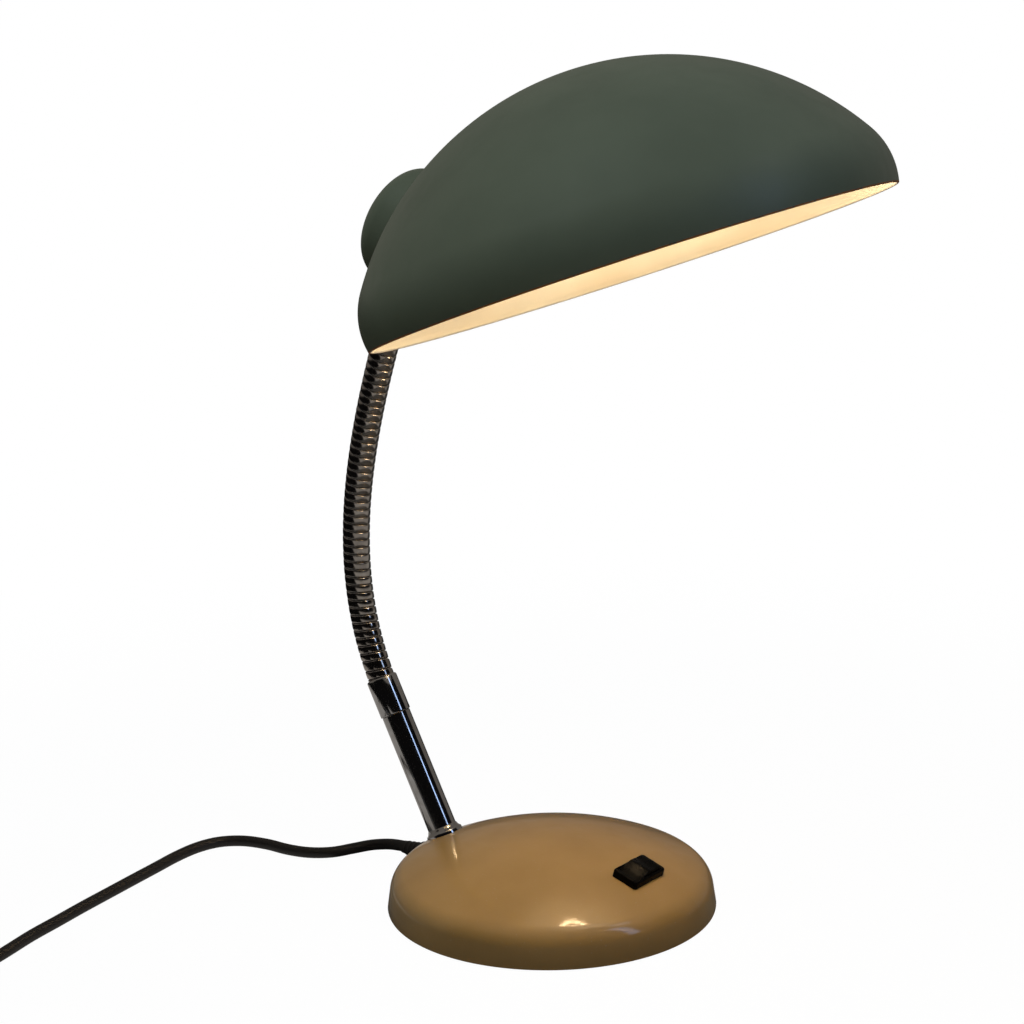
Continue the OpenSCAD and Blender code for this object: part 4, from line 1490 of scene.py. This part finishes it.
@dataclass
class MainsCord:
    """The mains cord: a strain relief, the free lead over the table, a flat coil and the plug."""

    d: float = 6.4
    length: float = 1.66
    exit: tuple[float, float, float] = (-106.0, 0.0, 9.0)
    coil_mid: tuple[float, float] = (-234.0, -270.0)
    coil_r: float = 48.0
    coil_pitch: float = 7.0
    coil_in: float = 990.0
    coil_out: float = 1965.0
    coil_step: float = 15.0
    plug_start: float = 48.0
    sleeve_l: float = 13.0
    plug_sleeve_l: float = 20.0
    free_route: list[tuple[float, float, float]] = field(
        default_factory=lambda: [
            (-109, 0, 9), (-117, -1.2, 8.4), (-126, -5.8, 7.3), (-133.2, -13.6, 6.1), (-141.5, -22.6, 4.8),
            (-153.5, -28.7, 3.8), (-168, -31.3, 3.2), (-184, -32.3, 3.2), (-199, -36.5, 3.2),
            (-209.5, -46, 3.2), (-213.8, -60, 3.2), (-213.5, -77, 3.2), (-211, -95, 3.2),
            (-208, -117, 3.2), (-205, -138, 3.2), (-202, -159, 3.2), (-198.5, -180, 3.2),
            (-195, -202, 3.2), (-189.5, -226, 3.2),
        ]
    )

    def coil_point(self, angle: float) -> Vector:
        """Gives a point of the coil.

        Args:
            angle: The angle run clockwise from where the lead comes in, in degrees.

        Returns:
            The point.
        """
        mid = self.coil_in + 90
        r = self.coil_r - self.coil_pitch * (min(angle, mid) - max(0.0, angle - mid)) / 360
        climb = self.coil_pitch * (1 - math.cos(math.radians(max(0.0, min(180.0, angle - self.coil_in))))) / 2
        turn = math.radians(angle)
        return Vector(
            (
                self.coil_mid[0] + r * math.cos(turn),
                self.coil_mid[1] - r * math.sin(turn),
                self.d / 2 + climb,
            )
        )

    def tail_way(self) -> Vector:
        """Gives the direction in which the lead runs on from the coil to the plug."""
        turn = math.radians(self.coil_out)
        return Vector((-math.sin(turn), -math.cos(turn), 0))

    def route(self) -> list[Vector]:
        """Gives the whole lead's route: over the table, round the coil and down to the plug.

        Returns:
            Its points.
        """
        x, y = self.coil_mid[0] + self.coil_r, self.coil_mid[1]
        lead = [Vector(self.exit), *[Vector(p) for p in self.free_route]]
        lead += [Vector((x, y + 24, self.d / 2)), Vector((x, y + self.d, self.d / 2))]
        count = round(self.coil_out / self.coil_step)
        coil = [self.coil_point(self.coil_step * i) for i in range(count + 1)]
        start = coil[-1] + self.d * self.tail_way()
        drops = ((0, 0), (10, 0), (20, -0.4), (31, -1.8), (40, -3.2), (self.plug_start, -3.2))
        tail = [start + run * self.tail_way() + Vector((0, 0, drop)) for run, drop in drops]
        return [*lead, *coil, *tail]

    def handles(self, points: Sequence[Vector]) -> list[Vector]:
        """Gives the handles of a curve that runs smoothly through points.

        Args:
            points: The curve's points.

        Returns:
            For each point, the way to its handle ahead.
        """
        ahead = [*points[1:], points[-1]]
        behind = [points[0], *points[:-1]]
        spans = [3, *[6] * (len(points) - 2), 3]
        return [(b - a) / span for a, b, span in zip(behind, ahead, spans)]

    def lead(self) -> Object:
        """Makes the lead as one smooth round curve.

        Returns:
            The lead.
        """
        data = bpy.data.curves.new("mains_lead", "CURVE")
        data.dimensions = "3D"
        data.resolution_u = 5
        data.bevel_depth = self.d / 2 * MM
        data.bevel_resolution = 4
        data.use_fill_caps = True
        points = self.route()
        spline = data.splines.new("BEZIER")
        spline.bezier_points.add(len(points) - 1)
        for knot, point, handle in zip(spline.bezier_points, points, self.handles(points)):
            knot.handle_left_type = knot.handle_right_type = "FREE"
            knot.co = point * MM
            knot.handle_left = (point - handle) * MM
            knot.handle_right = (point + handle) * MM
        data.materials.append(CORD_PVC.material())
        return placed("mains_lead", data)

    def relief(self) -> Object:
        """Makes the strain relief: a flange on the skirt and a ribbed sleeve that tapers.

        Returns:
            The strain relief.
        """
        ribs, count = 4, 40
        outline = [(0.0, 28.0), (4.3, 28.0), (4.3, 18.5), (5.9, 18.4), (6.0, 13.9), (5.8, 13.4), (5.4, 13.2)]
        for i in range(count + 1):
            run = i / count
            rib = 0.25 * max(0.0, math.cos(math.tau * ribs * run)) if run < 0.94 else 0.0
            outline.append((4.9 - 1.35 * run + rib, self.sleeve_l * (1 - run)))
        frame = shift(*self.exit) @ turn_about("Y", 90)
        return Skin(frame).turned([*outline, (0.0, 0.0)], 48).piece("strain_relief", [CORD_PVC])

    def plug(self) -> Object:
        """Makes the moulded plug with its ribbed sleeve.

        Returns:
            The plug.
        """
        way = self.tail_way()
        start = self.route()[-1]
        turn = math.degrees(math.atan2(way.y, way.x))
        frame = Matrix.Translation(start) @ turn_about("Z", turn) @ turn_about("Y", 90) @ turn_about("Z", 90)
        skin = Skin(frame)
        rings = []
        for i in range(29):
            run = self.plug_sleeve_l * i / 28
            r = 3.8 + 1.5 * i / 28 + (0.3 if i % 4 in (1, 2) else 0.0)
            rings.append(skin.box_ring(r, r, r, run))
        shape = (
            (0.3, 6.0, 5.9, 4.6), (1.2, 6.8, 6.4, 4.4), (4, 8.2, 6.8, 4.2), (8, 9.9, 6.95, 4),
            (12, 11.5, 6.95, 3.8), (16, 12.7, 6.95, 3.6), (19, 12.95, 6.95, 3.6), (26.6, 12.95, 6.95, 3.6),
            (27.5, 12.7, 6.7, 3.4), (27.9, 12.2, 6.2, 3.0), (28, 11.6, 5.6, 2.6),
        )
        for z, half_w, half_t, corner in shape:
            rings.append(skin.box_ring(half_w, half_t, corner, self.plug_sleeve_l + z))
        skin.loft(rings)
        return skin.piece("mains_plug", [PLUG_PVC])

    def build(self, pins: Object) -> None:
        """Makes the lead and the pieces on it.

        Args:
            pins: The plug's CAD pins, which lie on the cord's end. Not used.
        """
        lead, relief, plug = self.lead(), self.relief(), self.plug()
        fit_piece(lead, Body.BASE, ["cord", "cord_coil", "cord_tail"])
        fit_piece(relief, Body.BASE, ["cord_bushing"])
        fit_piece(plug, Body.BASE, ["plug_body"])


@dataclass
class PhotoCamera:
    """The camera, where it stood for the photograph."""

    place: tuple[float, float, float] = (0.7529, -0.9809, 0.5193)
    turn: float = 38.316
    dip: float = 13.566
    roll: float = -1.178
    lens: float = 84.89

    def build(self) -> None:
        """Makes the camera and gives it to the scene."""
        turn, dip, roll = (math.radians(a) for a in (self.turn, self.dip, self.roll))
        level = Vector((math.cos(turn), math.sin(turn), 0))
        ahead = Vector((-math.sin(turn) * math.cos(dip), math.cos(turn) * math.cos(dip), -math.sin(dip)))
        above = level.cross(ahead)
        right = math.cos(roll) * level + math.sin(roll) * above
        up = math.cos(roll) * above - math.sin(roll) * level
        data = bpy.data.cameras.new("photo_camera")
        data.sensor_width = 36
        data.lens = self.lens
        data.clip_start = 0.05
        made = placed("photo_camera", data)
        axes = Matrix((right, up, -ahead)).transposed().to_4x4()
        made.matrix_world = Matrix.Translation(self.place) @ axes
        bpy.context.scene.camera = made


@dataclass
class Studio:
    """A white floor in a white room, with soft lamps and the dim side that polished metal shows."""

    floor_half: float = 4.0
    floor_z: float = -0.0002
    cloth_z: float = 0.0004
    cloth_steps: int = 24
    white: str = "#FFFFFF"
    bounce_grey: str = "#726E68"
    near_white: float = 0.98
    fade_from: float = 0.3
    fade_to: float = 0.8
    room_light: float = 0.15
    room_colour: str = "#EAF2F4"
    mirror_light: float = 0.42
    mirror_colour: str = "#B9B0A6"
    dark: str = "#121111"
    pale: str = "#ACA7A1"
    bulb_colour: str = "#FFEFD8"
    glint_colour: str = "#FFD9A6"
    bulb_at: tuple[float, float, float] = (0.032, 0.0285, 0.339)

    def room(self) -> None:
        """Makes the world: white to look at, dimmer in the metal, and a soft fill on the object."""
        world = bpy.data.worlds.new("white_room")
        world.use_nodes = True
        tree = world.node_tree
        rays = add_node(tree, "LightPath")
        seen, mirror = rays.outputs["Is Camera Ray"], rays.outputs["Is Glossy Ray"]
        fill = add_node(
            tree, "MapRange", {"Value": mirror, "To Min": self.room_light, "To Max": self.mirror_light}
        )
        strength = add_node(tree, "MapRange", {"Value": seen, "To Min": fill.outputs[0], "To Max": 1.0})
        tint = add_node(
            tree, "Mix", {0: mirror, 6: linear(self.room_colour), 7: linear(self.mirror_colour)},
            data_type="RGBA",
        )
        colour = add_node(tree, "Mix", {0: seen, 6: tint.outputs[2], 7: linear(self.white)}, data_type="RGBA")
        back = tree.nodes["Background"]
        tree.links.new(strength.outputs[0], back.inputs["Strength"])
        tree.links.new(colour.outputs[2], back.inputs["Color"])
        bpy.context.scene.world = world

    def sheet(
        self,
        name: str,
        points: list[tuple[float, ...]],
        faces: list[tuple[int, ...]],
        paint: bpy.types.Material,
    ) -> Object:
        """Makes one sheet of the studio, which isn't part of the lamp.

        Args:
            name: Its name.
            points: Its points in metres.
            faces: Its faces.
            paint: Its material.

        Returns:
            The sheet.
        """
        mesh = bpy.data.meshes.new(name)
        mesh.from_pydata(points, [], faces)
        mesh.materials.append(paint)
        made = placed(name, mesh)
        return made

    def floor(self) -> None:
        """Makes the floor, which keeps the lamp's shadow near it and runs out to white."""
        paint = bare_material("floor_white")
        tree = paint.node_tree
        seen = add_node(tree, "LightPath").outputs["Is Camera Ray"]
        place = add_node(tree, "TexCoord").outputs["Object"]
        reach = add_node(tree, "VectorMath", {0: place}, operation="LENGTH")
        fade = {
            "Value": reach.outputs["Value"],
            "From Min": self.fade_from,
            "From Max": self.fade_to,
            "To Min": self.near_white,
        }
        far = add_node(tree, "MapRange", fade, interpolation_type="SMOOTHSTEP")
        amount = add_node(tree, "Math", {0: seen, 1: far.outputs[0]}, operation="MULTIPLY")
        greys = {0: seen, 6: linear(self.bounce_grey), 7: linear(self.white)}
        grey = add_node(tree, "Mix", greys, data_type="RGBA")
        lit = add_node(tree, "BsdfDiffuse", {"Color": grey.outputs[2]})
        white = add_node(tree, "Emission", {"Color": linear(self.white), "Strength": 1.0})
        mixed = add_node(tree, "MixShader", {0: amount.outputs[0], 1: lit.outputs[0], 2: white.outputs[0]})
        feed(tree, tree.nodes["Material Output"], {"Surface": mixed.outputs[0]})
        h, z = self.floor_half, self.floor_z
        self.sheet("floor", [(-h, -h, z), (h, -h, z), (h, h, z), (-h, h, z)], [(0, 1, 2, 3)], paint)

    def cloth(
        self,
        name: str,
        colour: str,
        angles: tuple[float, float],
        low: tuple[float, float],
        high: tuple[float, float],
    ) -> None:
        """Hangs or lays a cloth round the lamp, which only polished surfaces show.

        Args:
            name: Its name.
            colour: Its colour.
            angles: Where it starts and ends round the lamp, in degrees.
            low: The distance and the height of its first edge, in metres.
            high: The distance and the height of its other edge.
        """
        points: list[tuple[float, ...]] = []
        for i in range(self.cloth_steps + 1):
            angle = math.radians(angles[0] + (angles[1] - angles[0]) * i / self.cloth_steps)
            points += [(r * math.cos(angle), r * math.sin(angle), z) for r, z in (low, high)]
        faces = [(n - 2, n, n + 1, n - 1) for n in range(2, 2 * self.cloth_steps + 1, 2)]
        paint = bare_material(name)
        glow = add_node(paint.node_tree, "Emission", {"Color": linear(colour), "Strength": 1.0})
        feed(paint.node_tree, paint.node_tree.nodes["Material Output"], {"Surface": glow.outputs[0]})
        made = self.sheet(name, points, faces, paint)
        made.visible_camera = made.visible_diffuse = False
        made.visible_shadow = made.visible_transmission = False

    def lamp(
        self,
        name: str,
        place: Sequence[float],
        size: Sequence[float],
        power: float,
        tint: str,
        aim: Sequence[float] = (-0.05, 0.0, 0.2),
    ) -> Object:
        """Hangs one soft lamp.

        Args:
            name: Its name.
            place: Where it hangs, in metres.
            size: Its width and height in metres.
            power: Its power in watts.
            tint: Its colour.
            aim: The point that it faces.

        Returns:
            The lamp.
        """
        data = bpy.data.lights.new(name, "AREA")
        data.shape = "ELLIPSE" if size[0] == size[1] else "RECTANGLE"
        data.size, data.size_y = size
        data.energy = power
        data.color = linear(tint)[:3]
        made = placed(name, data)
        made.location = place
        made.rotation_euler = (Vector(aim) - Vector(place)).to_track_quat("-Z", "Y").to_euler()
        return made

    def point(self, name: str, place: Sequence[float], power: float, size: float, tint: str) -> Object:
        """Puts one small round lamp inside the shade.

        Args:
            name: Its name.
            place: Where it is, in metres.
            power: Its power in watts.
            size: Its radius in metres.
            tint: Its colour.

        Returns:
            The lamp.
        """
        data = bpy.data.lights.new(name, "POINT")
        data.energy = power
        data.color = linear(tint)[:3]
        data.shadow_soft_size = size
        made = placed(name, data)
        made.location = place
        return made

    def bulb_light(self) -> None:
        """Lights the shade's inside and the base from the lit bulb."""
        self.point("bulb_light", self.bulb_at, 0.01, 0.018, self.bulb_colour)
        mouth = self.lamp(
            "mouth_glow", (0.1, -0.01, 0.362), (0.14, 0.14), 0.46, self.bulb_colour, (0.2, -0.05, 0.0)
        )
        glow = self.point("shade_glow", (0.13, 0.0, 0.396), 0.37, 0.03, self.bulb_colour)
        mouth.visible_glossy = glow.visible_glossy = False
        glint = self.point("bulb_glint", self.bulb_at, 1.5, 0.026, self.glint_colour)
        glint.visible_diffuse = False

    def build(self) -> None:
        """Makes the room, the floor and the lamps."""
        bpy.context.scene.view_settings.view_transform = "Standard"
        self.room()
        self.floor()
        z = self.cloth_z
        self.cloth("dark_cloth_on_floor", self.dark, (-215, -84), (0.42, z), (2.6, z))
        self.cloth("pale_cloth_in_front", self.pale, (-84, 80), (0.35, z), (2.6, z))
        self.cloth("pale_cloth_behind", self.pale, (-215, -127), (0.14, z), (0.42, z))
        self.cloth("dark_cloth_round_room", self.dark, (-127, 50), (2.6, 0.0), (2.6, 2.2))
        key = self.lamp("key_softbox", (-0.3, -0.75, 2.0), (1.3, 1.3), 12.5, "#DCEAFF")
        key.visible_glossy = False
        self.lamp("window_far", (1.15, 0.58, 2.27), (0.5, 0.5), 1.3, "#EEF0F2")
        self.lamp("side_strip", (1.267, 0.107, 0.9), (0.2, 1.1), 2.3, "#B0CCFA")
        self.bulb_light()


NODES_BY_FINISH: dict[Finish, str] = {
    BASE_ENAMEL: "base_shell",
    SHADE_ENAMEL: "rear_cup shade",
    CAST_IRON: "base_weight",
    FELT: "base_pad",
    ZINC_STEEL: "base_plate plate_screws clamp_screws stem_washer stem_nut neck_washer neck_nut cup_screws",
    CHROME: "stem_collar stem_tube lower_ferrule upper_ferrule",
    BRASS: "switch_terminals stem_nipple neck_nipple holder_contacts plug_pins",
    SWITCH_ABS: "switch_housing switch_rocker",
    HOLDER_BAKELITE: "holder_body shade_ring",
    BULB_OPAL: "bulb_glass",
    CAP_ALUMINIUM: "bulb_cap",
    WIRE_PVC: "head_wires base_wires",
    CORD_PVC: "cord_bushing inner_lead cord cord_coil cord_tail",
    CLAMP_NYLON: "cord_clamp",
    BLOCK_PLASTIC: "terminal_block",
    PLUG_PVC: "plug_body",
}


def dress_nodes(nodes: dict[str, Object]) -> None:
    """Gives every CAD node its finish, and the plated strip to the links of the gooseneck.

    Args:
        nodes: The nodes' objects by name.
    """
    finishes = {name: finish for finish, names in NODES_BY_FINISH.items() for name in names.split()}
    for name, node in nodes.items():
        finish = finishes.get(name, NECK_PLATE)
        node.data.materials.clear()
        node.data.materials.append(finish.material())


def main() -> None:
    """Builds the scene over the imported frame, the camera and the cord first."""
    logging.basicConfig(level=logging.INFO, format="%(name)s: %(message)s")
    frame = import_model()
    PhotoCamera().build()
    drawing = Drawing()
    dress_nodes(frame["nodes"])
    MainsCord().build(frame["nodes"]["plug_pins"])
    Base(drawing).build()
    RockerSwitch(drawing).build()
    Stem(drawing).build()
    Gooseneck(drawing).build()
    Head(drawing).build()
    Studio().build()


if __name__ == "__main__":
    main()
